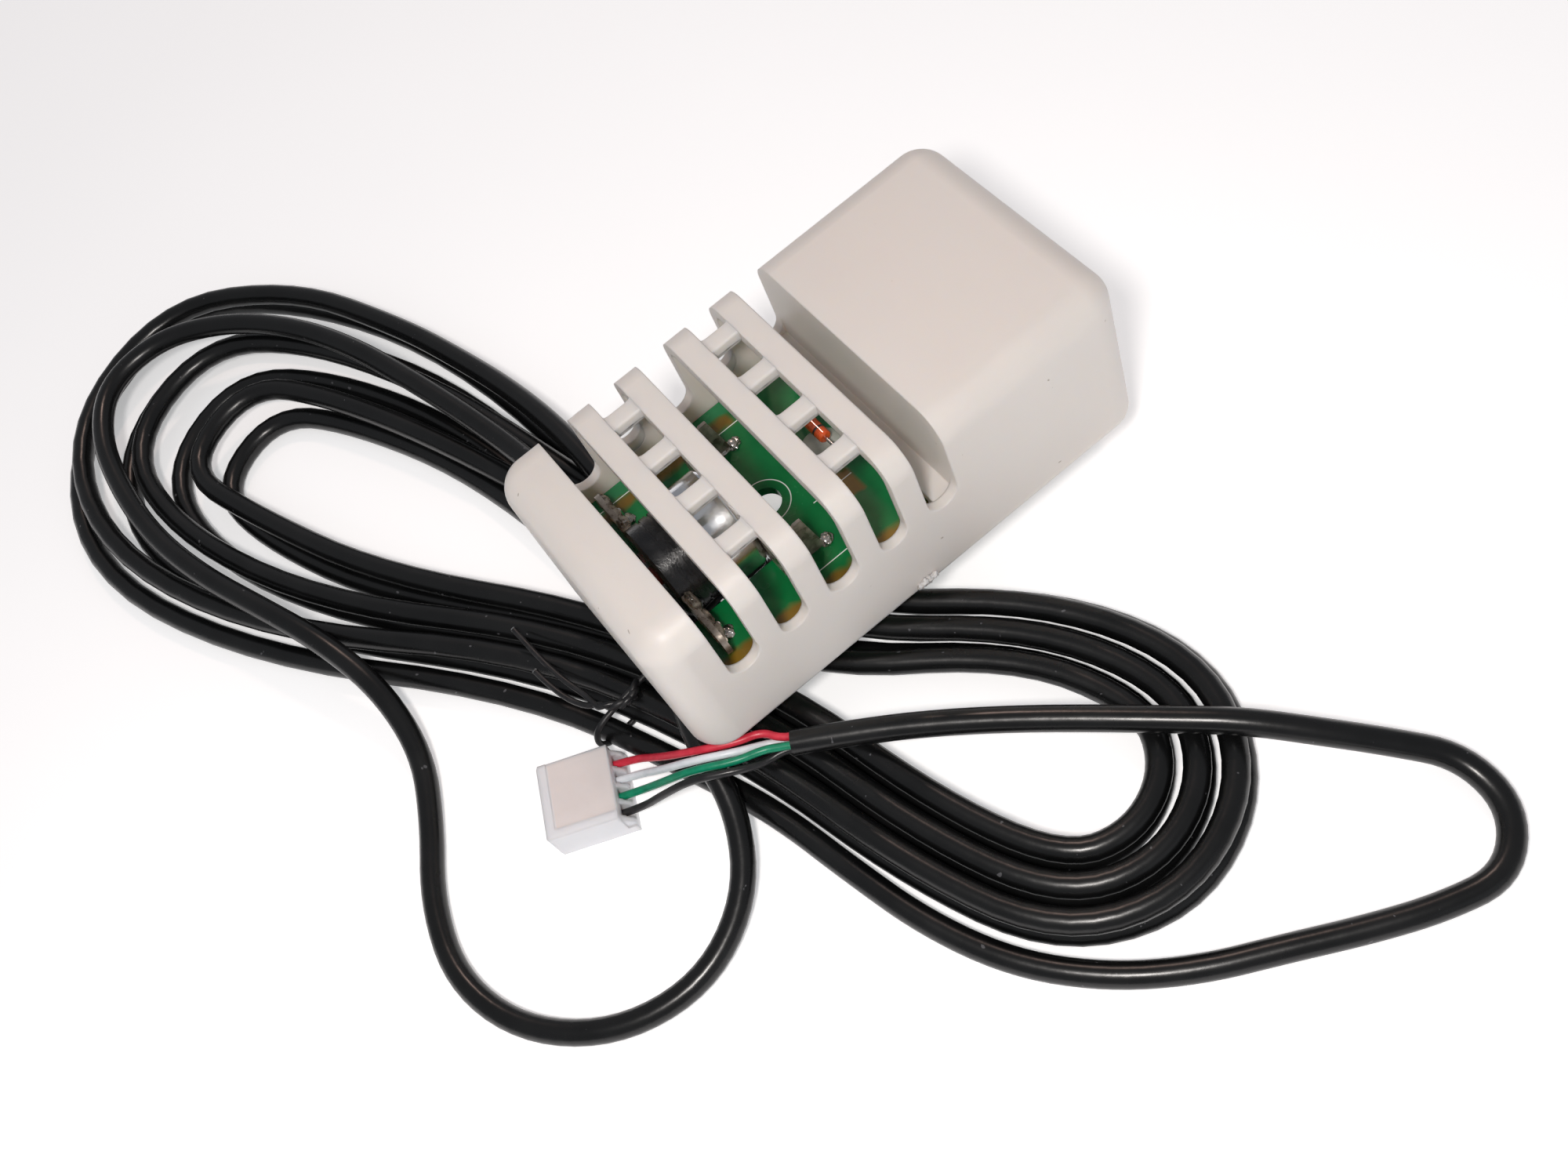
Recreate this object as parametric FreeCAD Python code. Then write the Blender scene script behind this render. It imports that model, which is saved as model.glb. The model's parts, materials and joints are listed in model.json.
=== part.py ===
import FreeCAD
import Part
import math
import os
from FreeCAD import Vector

# Sauna temperature sensor: a vented white cover over a green circuit board that
# carries a manual-reset thermal cut-out and a glass bead thermistor, with a long
# black cable folded into a hank and ending in a four-way connector.
# Millimetres. Everything is drawn about the centre of the cover's rim, which lies
# in the plane z = 0, and is moved at the end so that the origin is the middle of
# the board's fixing hole, at the board's top face.

# Cover
cover_length = 75.0
cover_width = 40.0
cover_height = 27.0
wall = 1.5
roof = 2.2
lean = 0.5
corner_radius = 5.0
crown_radius = 4.2
inner_crown_radius = 2.2
slot_width = 4.8
ladder_gap = 4.3
rib_width = 3.5
vent_end = -cover_length / 2
first_rib_edge = vent_end + 13.2
vent_floor = 12.25
rung_width = 2.6
rung_pitch = 8.45
rung_drop = 0.9
rung_height = 1.2
shelf_height = 12.0
shelf_depth = 3.2
rung_bite = 0.35

# Circuit board
board_top = 9.3
board_thickness = 1.6
board_clearance = 0.35
board_start = vent_end + wall + 0.3
board_end = board_start + 40.9
fixing_hole_x = vent_end + 27.1
fixing_hole_radius = 2.25
window_start = vent_end + 8.3
window_end = window_start + 14.8

# Thermal cut-out, turned about an axis along X
cutout_height = board_top + 2.7
body_radius = 7.1
body_start = vent_end + 9.5
cap_radius = 8.0
window_half_width = cap_radius - 0.2
cap_start = body_start + 8.0
cap_end = cap_start + 4.8
cap_sheet = 0.4
cap_edge_radius = 1.0
chamber_radius = 5.6
rear_wall = 1.5
groove_depth = 0.25
guide_thickness = 1.0
pin_radius = 0.8
pin_clearance = 0.06
disc_thickness = 0.3
disc_rise = 0.6
arm_thickness = 0.3
arm_width = 3.0
arm_pivot_y = -4.6
arm_tip_y = 4.9
contact_radius = 0.9
contact_height = 0.5
contact_y = 3.8
button_radius = 1.5
button_clearance = 0.06
button_collar = 2.3
button_stem = 0.9
button_proud = 1.2
button_travel = 0.8
pin_travel = 0.5

# Terminals, their pins and the heat bracket
terminal_x = body_start + 0.8
terminal_width = 4.8
terminal_thickness = 0.8
terminal_reach = 16.0
terminal_root = 4.6
terminal_pin_radius = 0.5
terminal_pin_y = 12.0
terminal_pin_top = cutout_height + 0.4
bracket_sheet = 0.5
bracket_half_width = 11.0
bracket_height = 7.9
bracket_crest = 6.0
fin_length = 6.6
fin_apex = 4.6

# Thermistor
bead_x = board_start + 36.7
bead_y = 2.1
bead_height = 2.6
bead_radius = 0.95
bead_length = 3.9
lead_radius = 0.25
lead_spread = 4.6
drop_radius = 3.1

# Cable and connector
cable_diameter = 3.5
cable_gap = 0.45
joined_samples = 14
rim_gap = 0.3
hank_flat = 0.5
core_diameter = 1.1
core_pitch = 1.24
core_fan = 1.32
notch_x = vent_end + 8.0
notch_height = 2.0
notch_clearance = 0.2
connector_width = 11.3
connector_length = 10.5
connector_height = 5.8
connector_lip = 1.3
tooth_width = 0.8
panel_depth = 0.2
connector_pitch = 2.5
core_height = 2.7
cavity_side = 1.9
cavity_depth = 8.6
mouth_side = 0.9
core_bite = 1.5
connector_centre = (-54.7, -7.4)
connector_angle = 156.0
tie_radius = 0.5
tie_bend = 2.2

# Hank: a pinched ring of turns. Places are (along, across) the hank's axis.
hank_origin = (-32.9, 0.5)
hank_angle = math.radians(-67.55)
top_turns = 3
bottom_turns = 3.375
waist_place = (6.0, 4.0)
waist_half = 1.6
waist_step = 4.4
top_waist_shift = 2.0
left_across = 4.0
left_tip_across = 3.0
left_tip_across_step = 1.75
left_ahead = 23.0
left_ahead_step = 5.0
left_half = {"top": 4.9, "bottom": 11.3}
left_step = {"top": 8.0, "bottom": 5.95}
left_tip = {"top": 86.0, "bottom": 91.0}
left_tip_step = {"top": 14.0, "bottom": 12.0}
right_place = {"top": (58.0, 8.5), "bottom": (57.0, 8.0)}
right_tip_across = 8.0
right_half = 9.6
right_step = 4.4
right_tip = {"top": 67.0, "bottom": 65.5}
right_tip_step = {"top": 4.6, "bottom": 5.0}

layer_step = cable_diameter + cable_gap
third_level = -rim_gap - cable_diameter / 2
top_level = third_level - layer_step
bottom_level = top_level - layer_step
floor = bottom_level - cable_diameter / 2 + hank_flat
floor_level = floor + cable_diameter / 2
board_bottom = board_top - board_thickness
X = Vector(1, 0, 0)
Y = Vector(0, 1, 0)
Z = Vector(0, 0, 1)


def block(x0, x1, y0, y1, z0, z1):
    return Part.makeBox(x1 - x0, y1 - y0, z1 - z0, Vector(x0, y0, z0))


def cylinder(radius, start, end):
    start = Vector(*start)
    along = Vector(*end) - start
    return Part.makeCylinder(radius, along.Length, start, along)


def prism(points, direction):
    wire = Part.makePolygon([Vector(*p) for p in points + points[:1]])
    return Part.Face(wire).extrude(direction)


def rounded_outline(x0, x1, y0, y1, radius, z):
    """A rectangle with round corners, as a closed wire at height z."""
    def corner(cx, cy, quarter):
        start = math.radians(90 * quarter)
        places = [start, start + math.pi / 4, start + math.pi / 2]
        points = [Vector(cx + radius * math.cos(a), cy + radius * math.sin(a), z) for a in places]
        return points
    corners = [
        corner(x1 - radius, y1 - radius, 0),
        corner(x0 + radius, y1 - radius, 1),
        corner(x0 + radius, y0 + radius, 2),
        corner(x1 - radius, y0 + radius, 3),
    ]
    edges = []
    for index, points in enumerate(corners):
        following = corners[(index + 1) % 4]
        edges.append(Part.Arc(*points).toShape())
        edges.append(Part.LineSegment(points[2], following[0]).toShape())
    return Part.Wire(edges)


def drafted_box(length, width, height, radius, crown):
    """The moulding's form: straight sides that lean in a little, and a round crown."""
    base = rounded_outline(-length / 2, length / 2, -width / 2, width / 2, radius, 0)
    top_x = length / 2 - lean
    top_y = width / 2 - lean
    top = rounded_outline(-top_x, top_x, -top_y, top_y, radius - lean, height)
    solid = Part.makeLoft([base, top], True, True)
    rim = [e for e in solid.Edges if all(abs(v.Z - height) < 1e-6 for v in e.Vertexes)]
    return solid.makeFillet(crown, rim)


def vent(x0, width):
    """A slot across the roof and down both sides, with half-round ends."""
    radius = width / 2
    centre = Vector(x0 + radius, -cover_width, vent_floor + radius)
    round_end = Part.makeCylinder(radius, 2 * cover_width, centre, Y)
    straight = block(x0, x0 + width, -cover_width, cover_width, vent_floor + radius, cover_height + 1)
    return round_end.fuse(straight)


def vent_places():
    """Where the three slots and the two ladders start, from the first rib's edge."""
    slots = []
    ladders = []
    x = first_rib_edge
    slots.append(x - slot_width)
    for _ in range(2):
        ladders.append(x + rib_width)
        x += rib_width + ladder_gap + rib_width
        slots.append(x)
        x += slot_width
    return slots, ladders


def cover():
    outer = drafted_box(cover_length, cover_width, cover_height, corner_radius, crown_radius)
    inner = drafted_box(
        cover_length - 2 * wall,
        cover_width - 2 * wall,
        cover_height - roof,
        corner_radius - wall,
        inner_crown_radius,
    )
    shell = outer.cut(inner)
    slots, ladders = vent_places()
    shell = shell.cut([vent(x, slot_width) for x in slots] + [vent(x, ladder_gap) for x in ladders])

    # The closed end's wall steps back over the board's end.
    face = slots[2] + slot_width
    profile = [
        (board_end + board_clearance, 0, 1.0),
        (board_end + board_clearance + wall, 0, 1.0),
        (board_end + board_clearance + wall, 0, shelf_height - wall),
        (face + wall, 0, shelf_height - wall),
        (face + wall, 0, cover_height - 0.5),
        (face, 0, cover_height - 0.5),
        (face, 0, shelf_height),
        (face - shelf_depth, 0, shelf_height),
        (face - shelf_depth, 0, shelf_height - wall),
        (board_end + board_clearance, 0, shelf_height - wall),
    ]
    step_wall = prism(profile, Y * cover_width)
    step_wall.translate(Y * (-cover_width / 2))
    pieces = [step_wall.common(outer)]

    # Rungs of the two ladders, with round tops a little below the ribs.
    rung_top = cover_height - rung_drop
    for x in ladders:
        for y in (-1.5 * rung_pitch, -0.5 * rung_pitch, 0.5 * rung_pitch, 1.5 * rung_pitch):
            rung = block(
                x - rung_bite,
                x + ladder_gap + rung_bite,
                y - rung_width / 2,
                y + rung_width / 2,
                rung_top - rung_height,
                rung_top,
            )
            crests = [e for e in rung.Edges if all(v.Z > rung_top - 0.1 for v in e.Vertexes)]
            long_crests = [e for e in crests if e.Length > ladder_gap]
            pieces.append(rung.makeFillet(rung_width * 0.28, long_crests))

    # Ledges stop the board from above, and snap noses hold it from below.
    catches = [slots[0] + slot_width + rib_width + 0.5]
    catches.append(ladders[0] + ladder_gap + rib_width + 0.5)
    catches.append(slots[1] + slot_width + rib_width + 0.5)
    inner_half = cover_width / 2 - wall
    for x in catches:
        for side in (-1, 1):
            ledge = [
                (x - 1.2, side * (inner_half + 0.4), board_top + 0.05),
                (x - 1.2, side * (inner_half - 1.1), board_top + 0.05),
                (x - 1.2, side * (inner_half - 1.1), board_top + 1.2),
                (x - 1.2, side * (inner_half + 0.4), board_top + 2.6),
            ]
            nose = [
                (x - 1.2, side * (inner_half + 0.4), board_bottom - 0.05),
                (x - 1.2, side * (inner_half - 0.7), board_bottom - 0.05),
                (x - 1.2, side * (inner_half + 0.4), board_bottom - 2.2),
            ]
            pieces.append(prism(ledge, X * 2.4))
            pieces.append(prism(nose, X * 2.4))
    shell = shell.fuse(pieces)

    # A notch in the far rim lets the cable out.
    notch_radius = cable_diameter / 2 + notch_clearance
    inside_y = cover_width / 2 - wall - 1.0
    notch = cylinder(notch_radius, (notch_x, inside_y, notch_height), (notch_x, cover_width, notch_height))
    notch = notch.fuse(
        block(notch_x - notch_radius, notch_x + notch_radius, inside_y, cover_width, -1, notch_height)
    )
    return shell.cut(notch).removeSplitter()


def board_drill(x, y, radius):
    return cylinder(radius, (x, y, board_bottom - 1), (x, y, board_top + 1))


def circuit_board():
    half = cover_width / 2 - wall - board_clearance
    outline = rounded_outline(board_start, board_end, -half, half, corner_radius - wall, board_bottom)
    board = Part.Face(outline).extrude(Z * board_thickness)
    opening = rounded_outline(
        window_start, window_end, -window_half_width, window_half_width, 0.8, board_bottom - 1
    )
    tools = [
        Part.Face(opening).extrude(Z * (board_thickness + 2)),
        board_drill(fixing_hole_x, 0, fixing_hole_radius),
    ]
    for side in (-1, 1):
        tools.append(board_drill(pin_x(), side * terminal_pin_y, terminal_pin_radius + 0.05))
    for x, y in thermistor_feet():
        tools.append(board_drill(x, y, lead_radius + 0.05))
    return board.cut(tools)


def turned(points):
    """Revolves a half section, given as (x, radius) points, about the cut-out's axis."""
    places = [Vector(x, 0, cutout_height + r) for x, r in points]
    face = Part.Face(Part.makePolygon(places + places[:1]))
    return face.revolve(Vector(0, 0, cutout_height), X, 360)


def terminal(side):
    """A flat tongue with a round tip, standing in the plane across the axis."""
    z0 = cutout_height - terminal_width / 2
    x0 = terminal_x - terminal_thickness / 2
    x1 = terminal_x + terminal_thickness / 2
    straight_end = terminal_reach - terminal_width / 2
    low, high = sorted((side * terminal_root, side * straight_end))
    tongue = block(x0, x1, low, high, z0, z0 + terminal_width)
    y = side * straight_end
    tip = cylinder(terminal_width / 2, (x0, y, cutout_height), (x1, y, cutout_height))
    eye = cylinder(0.8, (x0 - 1, y, cutout_height), (x1 + 1, y, cutout_height))
    return tongue.fuse(tip).cut(eye).removeSplitter()


def pin_x():
    return terminal_x + terminal_thickness / 2 + terminal_pin_radius + 0.03


def cutout_body():
    guide_face = cap_start + 0.8
    section = [
        (body_start, button_radius + button_clearance),
        (body_start, body_radius - 0.4),
        (body_start + 0.4, body_radius),
        (body_start + 2.2, body_radius),
        (body_start + 2.2, body_radius - groove_depth),
        (body_start + 2.6, body_radius - groove_depth),
        (body_start + 2.6, body_radius),
        (body_start + 3.6, body_radius),
        (body_start + 3.6, body_radius - groove_depth),
        (body_start + 4.0, body_radius - groove_depth),
        (body_start + 4.0, body_radius),
        (cap_start - 0.5, body_radius),
        (cap_start - 0.5, body_radius + 0.15),
        (cap_start, body_radius + 0.15),
        (cap_start, cap_radius - cap_sheet),
        (guide_face, cap_radius - cap_sheet),
        (guide_face, chamber_radius),
        (body_start + rear_wall, chamber_radius),
        (body_start + rear_wall, button_radius + button_clearance),
    ]
    body = turned(section)
    tools = []
    for side in (-1, 1):
        low, high = sorted((side * terminal_root, side * (body_radius + 1)))
        tools.append(
            block(
                terminal_x - terminal_thickness / 2,
                body_start + rear_wall + 0.1,
                low,
                high,
                cutout_height - terminal_width / 2,
                cutout_height + terminal_width / 2,
            )
        )
    return body.cut(tools)


def cutout_cap():
    section = [
        (cap_start - 0.4, body_radius + 0.2),
        (cap_start, body_radius + 0.2),
        (cap_start, cap_radius - cap_sheet),
        (cap_end - cap_sheet, cap_radius - cap_sheet),
        (cap_end - cap_sheet, 0),
        (cap_end, 0),
        (cap_end, cap_radius),
        (cap_start - 0.4, cap_radius),
    ]
    cap = turned(section)
    rim = [
        e for e in cap.Edges
        if e.BoundBox.XLength < 1e-6
        and abs(e.BoundBox.XMin - cap_end) < 1e-6
        and abs(e.BoundBox.YLength - 2 * cap_radius) < 1e-3
    ]
    return cap.makeFillet(cap_edge_radius, rim)


def pin_guide():
    """The disc that closes the body and guides the transfer pin."""
    start = cap_start + 0.8
    end = start + guide_thickness
    bore = pin_radius + pin_clearance
    return turned(
        [(start, bore), (start, cap_radius - cap_sheet), (end + 0.5, cap_radius - cap_sheet),
         (end + 0.5, cap_radius - cap_sheet - 0.7), (end, cap_radius - cap_sheet - 0.7), (end, bore)]
    )


def disc_seat():
    return cap_start + 0.8 + guide_thickness + 0.5


def bimetal_disc():
    """A shallow dome held between the guide's rim and the cap, bulging to the cap."""
    start = disc_seat()
    radius = cap_radius - cap_sheet - 0.1
    sphere = (radius ** 2 + disc_rise ** 2) / (2 * disc_rise)
    hollow = Part.makeSphere(sphere, Vector(start + disc_rise - sphere, 0, cutout_height))
    dome = hollow.translated(X * disc_thickness)
    keep = cylinder(radius, (start, 0, cutout_height), (cap_end, 0, cutout_height))
    return dome.cut(hollow).common(keep)


def pin_start():
    return cap_start - 2.4


def transfer_pin():
    end = disc_seat() + disc_rise - 0.05
    pin = cylinder(pin_radius, (pin_start(), 0, cutout_height), (end, 0, cutout_height))
    return pin.makeFillet(0.25, [e for e in pin.Edges if e.BoundBox.XLength < 1e-6])


def arm_face():
    """The side of the contact blade that the pin pushes."""
    return pin_start() - 0.03


def contact_disc(start, end):
    return cylinder(contact_radius, (start, contact_y, cutout_height), (end, contact_y, cutout_height))


def contact_arm():
    """A spring blade that the pin pushes away from the fixed contact."""
    x1 = arm_face()
    half = arm_width / 2
    low = cutout_height - half
    high = cutout_height + half
    blade = block(x1 - arm_thickness, x1, arm_pivot_y, arm_tip_y, low, high)
    middle = x1 - arm_thickness / 2
    root = cylinder(
        arm_thickness / 2,
        (middle, arm_pivot_y, low),
        (middle, arm_pivot_y, high),
    )
    return blade.fuse([root, contact_disc(x1 - arm_thickness, x1 + contact_height)])


def arm_post():
    """The riveted foot that carries the blade, on the near terminal."""
    x1 = arm_face()
    half = arm_width / 2
    post = block(
        terminal_x + terminal_thickness / 2,
        x1 + 0.5,
        arm_pivot_y - 0.8,
        arm_pivot_y - arm_thickness / 2 - 0.05,
        cutout_height - half,
        cutout_height + half,
    )
    return post


def fixed_contact():
    """The strip from the far terminal that carries the fixed contact."""
    face = arm_face() + contact_height
    contact = contact_disc(face + 0.02, face + 0.7)
    bridge = block(face + 0.7, face + 1.1, 2.6, 5.35, cutout_height - 1, cutout_height + 1)
    leg = block(
        terminal_x + terminal_thickness / 2, face + 1.1, 5.05, 5.35, cutout_height - 1, cutout_height + 1
    )
    return bridge.fuse([contact, leg])


def reset_button():
    """A mushroom button whose collar keeps it in the rear wall."""
    inside = body_start + rear_wall
    collar_end = inside + 0.05 + 0.7
    stem_end = arm_face() - arm_thickness - pin_travel - button_travel - 0.3
    section = [
        (body_start - button_proud, 0),
        (body_start - button_proud, button_radius - 0.3),
        (body_start - button_proud + 0.3, button_radius),
        (inside + 0.05, button_radius),
        (inside + 0.05, button_collar),
        (collar_end, button_collar),
        (collar_end, button_stem),
        (stem_end, button_stem),
        (stem_end, 0),
    ]
    return turned(section)


def heat_bracket():
    """A folded plate that bears on the cap, with two fins soldered to the board."""
    face = cap_end + 0.05
    low = board_top
    outline = [
        (face, -bracket_half_width, low),
        (face, -bracket_half_width, low + fin_apex),
        (face, -bracket_crest, low + bracket_height),
        (face, bracket_crest, low + bracket_height),
        (face, bracket_half_width, low + fin_apex),
        (face, bracket_half_width, low),
    ]
    plate = prism(outline, X * bracket_sheet)
    pieces = []
    for side in (-1, 1):
        y0, y1 = sorted((side * bracket_half_width, side * (bracket_half_width - bracket_sheet)))
        fin = [
            (face, y0, low),
            (face + fin_length, y0, low),
            (face + fin_apex + 0.5, y0, low + bracket_height),
            (face + fin_apex - 0.6, y0, low + bracket_height),
            (face, y0, low + fin_apex),
        ]
        pieces.append(prism(fin, Y * (y1 - y0)))
    return plate.fuse(pieces).removeSplitter()


def terminal_pin(side):
    y = side * terminal_pin_y
    foot = (pin_x(), y, board_bottom - 0.9)
    pin = cylinder(terminal_pin_radius, foot, (pin_x(), y, terminal_pin_top))
    level = [e for e in pin.Edges if e.BoundBox.ZLength < 1e-6]
    return pin.makeFillet(0.15, [e for e in level if e.BoundBox.ZMin > board_top])


def thermistor_feet():
    return [(bead_x, bead_y + lead_spread), (bead_x, bead_y - lead_spread)]


def bead_axis_z():
    return board_top + bead_height


def thermistor_bead():
    """A glass sleeve with round ends over the sensing chip."""
    half = bead_length / 2
    z = bead_axis_z()
    bead = cylinder(bead_radius, (bead_x, bead_y - half, z), (bead_x, bead_y + half, z))
    ends = [e for e in bead.Edges if e.BoundBox.YLength < 1e-6]
    return bead.makeFillet(0.35, ends)


def thermistor_lead(side):
    """A bare wire from the bead's end, bent down into the board."""
    z = bead_axis_z()
    y0 = bead_y + side * bead_length / 2
    y1 = bead_y + side * lead_spread
    points = [
        Vector(bead_x, y0, z),
        Vector(bead_x, y1, z),
        Vector(bead_x, y1, board_bottom - 0.7),
    ]
    return tube_along(points, lead_radius, 0.8)[0]


def silicone_drop():
    """A flattened drop under the bead, touching it from below."""
    rise = bead_axis_z() - bead_radius - board_top
    radius = (drop_radius ** 2 + rise ** 2) / (2 * rise)
    ball = Part.makeSphere(radius, Vector(bead_x - 0.6, bead_y - 0.9, board_top + rise - radius))
    keep = block(bead_x - 9, board_end + 9, bead_y - 9, bead_y + 9, board_top, board_top + 5)
    return ball.common(keep)


def solder_cone(x, y, radius, height, hole):
    """A solder fillet round a wire, wide at the board's underside."""
    cone = Part.makeCone(radius, hole + 0.2, height, Vector(x, y, board_bottom), Z * -1)
    return cone.cut(Part.makeCylinder(hole, height + 2, Vector(x, y, board_bottom + 1), Z * -1))


def solder_joints():
    joints = []
    for side in (-1, 1):
        joints.append(solder_cone(pin_x(), side * terminal_pin_y, 1.3, 0.8, terminal_pin_radius))
        foot = cap_end + 0.05 + fin_length + 0.05
        y = side * (bracket_half_width - bracket_sheet / 2)
        blob = Part.makeSphere(1.0, Vector(foot + 0.2, y, board_top))
        blob = blob.common(block(foot, foot + 3, y - 2, y + 2, board_top, board_top + 2))
        joints.append(blob)
    for x, y in thermistor_feet():
        joints.append(solder_cone(x, y, 0.9, 0.6, lead_radius))
    return Part.makeCompound(joints)


def tube_along(points, radius, corner=None):
    """A tube along straight runs joined by tangent arcs, with its length and radii.
    Each arc starts 0.45 of the shorter run from its point, or the given corner."""
    edges = []
    radii = []
    start = points[0]
    length = 0.0
    for before, point, after in zip(points, points[1:], points[2:]):
        incoming = (point - before).normalize()
        outgoing = (after - point).normalize()
        turn = incoming.getAngle(outgoing)
        run = min((point - before).Length, (after - point).Length)
        setback = corner or 0.45 * run
        bend = setback / math.tan(turn / 2)
        a = point - incoming * setback
        b = point + outgoing * setback
        inward = (outgoing - incoming).normalize()
        middle = point + inward * (bend / math.cos(turn / 2) - bend)
        edges.append(Part.LineSegment(start, a).toShape())
        edges.append(Part.Arc(a, middle, b).toShape())
        length += (a - start).Length + bend * turn
        radii.append(bend)
        start = b
    edges.append(Part.LineSegment(start, points[-1]).toShape())
    length += (points[-1] - start).Length
    wire = Part.Wire(edges)
    circle = Part.Wire([Part.makeCircle(radius, points[0], points[1] - points[0])])
    return wire.makePipeShell([circle], True, False), length, radii


def report_tube(name, solid, length, radii, radius):
    expected = math.pi * radius ** 2 * length
    print(f"{name}: length {length:.1f}, volume / (section x length) {solid.Volume / expected:.4f}")
    print(f"{name}: bend radii {', '.join(f'{r:.1f}' for r in radii)}")


def along_hank(place):
    """Turns (along, across, height) on the hank into a point."""
    s, v, z = place
    ux, uy = math.cos(hank_angle), math.sin(hank_angle)
    return Vector(hank_origin[0] + s * ux - v * uy, hank_origin[1] + s * uy + v * ux, z)


def hank_nodes():
    """Places and directions of the cable, eight to a turn, counter-clockwise from above.
    The top layer winds in, the cable goes down a layer along a run, and the bottom
    layer winds out at the same rate."""
    nodes = []
    last = round(8 * (top_turns + bottom_turns))
    for index in range(last + 1):
        turn = index / 8
        on_top = turn < top_turns - 1e-6
        layer = "top" if on_top else "bottom"
        height = top_level if on_top else bottom_level
        if index == last:
            height = floor_level
        out = abs(top_turns - turn)
        shift = top_waist_shift if turn < top_turns - 0.5 else 0.0
        waist = waist_half + waist_step * out
        left = left_half[layer] + left_step[layer] * out
        tip = left_tip[layer] + left_tip_step[layer] * out
        widest = left_ahead + left_ahead_step * out - tip
        right = right_half + right_step * out
        right_s, right_v = right_place[layer]
        stations = [
            (widest, left_across + left, 180),
            (-tip, left_tip_across + left_tip_across_step * out, 270),
            (widest, left_across - left, 0),
            (waist_place[0], waist_place[1] + shift - waist, 0),
            (right_s, right_v - right, 0),
            (right_tip[layer] + right_tip_step[layer] * out, right_tip_across, 90),
            (right_s, right_v + right, 180),
            (waist_place[0], waist_place[1] + shift + waist, 180),
        ]
        s, v, heading = stations[index % 8]
        heading = hank_angle + math.radians(heading)
        nodes.append((along_hank((s, v, height)), Vector(math.cos(heading), math.sin(heading), 0)))
    return nodes


def arc_edge(start, tangent, end):
    """The arc that leaves start along tangent and reaches end, with its radius and points."""
    chord = end - start
    half = tangent.getAngle(chord)
    side = (chord - tangent * chord.dot(tangent))
    if half < 1e-4 or side.Length < 1e-6:
        return Part.LineSegment(start, end).toShape(), math.inf, [start, end]
    normal = side.normalize()
    radius = chord.Length / (2 * math.sin(half))
    centre = start + normal * radius
    def at(angle):
        return centre - normal * (radius * math.cos(angle)) + tangent * (radius * math.sin(angle))
    steps = max(2, math.ceil(2 * half * radius / 1.5))
    points = [at(2 * half * i / steps) for i in range(steps + 1)]
    return Part.Arc(start, at(half), end).toShape(), radius, points


def biarc(p0, t0, p1, t1):
    """Two arcs that join smoothly between two points with given directions."""
    v = p1 - p0
    t = t0 + t1
    spread = 2 * (1 - t0.dot(t1))
    if spread < 1e-6:
        d = v.dot(v) / (4 * v.dot(t0))
    else:
        d = (-v.dot(t) + math.sqrt(v.dot(t) ** 2 + spread * v.dot(v))) / spread
    c0 = p0 + t0 * d
    c1 = p1 - t1 * d
    joint = (c0 + c1) * 0.5
    first = arc_edge(p0, t0, joint)
    tangent = (c1 - c0).normalize()
    second = arc_edge(joint, tangent, p1)
    return [first, second]


def hank_path():
    nodes = hank_nodes()
    straight = cable_diameter
    start = nodes[0][0] - nodes[0][1] * straight
    end = nodes[-1][0] + nodes[-1][1] * straight
    edges = [Part.LineSegment(start, nodes[0][0]).toShape()]
    samples = [start]
    radii = []
    for (p0, t0), (p1, t1) in zip(nodes, nodes[1:]):
        for edge, radius, points in biarc(p0, t0, p1, t1):
            edges.append(edge)
            radii.append(radius)
            samples.extend(points[:-1])
    edges.append(Part.LineSegment(nodes[-1][0], end).toShape())
    samples.extend([nodes[-1][0], end])
    return edges, samples, min(radii)


def least_gap(a, b, same=False):
    """The least gap between two cables' surfaces, measured on points of their lines."""
    least = math.inf
    cell = 8.0
    grid = {}
    places = []
    travelled = 0.0
    for i, p in enumerate(b):
        if i:
            travelled += (p - b[i - 1]).Length
        places.append(travelled)
        key = (int(p.x // cell), int(p.y // cell), int(p.z // cell))
        grid.setdefault(key, []).append(i)
    for i, p in enumerate(a):
        key = (int(p.x // cell), int(p.y // cell), int(p.z // cell))
        for dx in (-1, 0, 1):
            for dy in (-1, 0, 1):
                for dz in (-1, 0, 1):
                    for j in grid.get((key[0] + dx, key[1] + dy, key[2] + dz), []):
                        if same and abs(places[i] - places[j]) < 4 * cable_diameter:
                            continue
                        least = min(least, (p - b[j]).Length)
    return least - cable_diameter


def cable_hank():
    edges, samples, tightest = hank_path()
    wire = Part.Wire(edges)
    circle = Part.Wire([Part.makeCircle(cable_diameter / 2, samples[0], samples[1] - samples[0])])
    solid = wire.makePipeShell([circle], True, False)
    expected = math.pi * cable_diameter ** 2 / 4 * wire.Length
    print(f"hank: length {wire.Length:.0f}, volume / (section x length) {solid.Volume / expected:.4f}")
    print(f"hank: tightest bend radius {tightest:.1f}")
    print(f"hank: least gap to itself {least_gap(samples, samples, True):.2f}")
    box = solid.BoundBox
    slab = block(box.XMin - 1, box.XMax + 1, box.YMin - 1, box.YMax + 1, floor - 3, floor)
    return solid.cut(slab)


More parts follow.
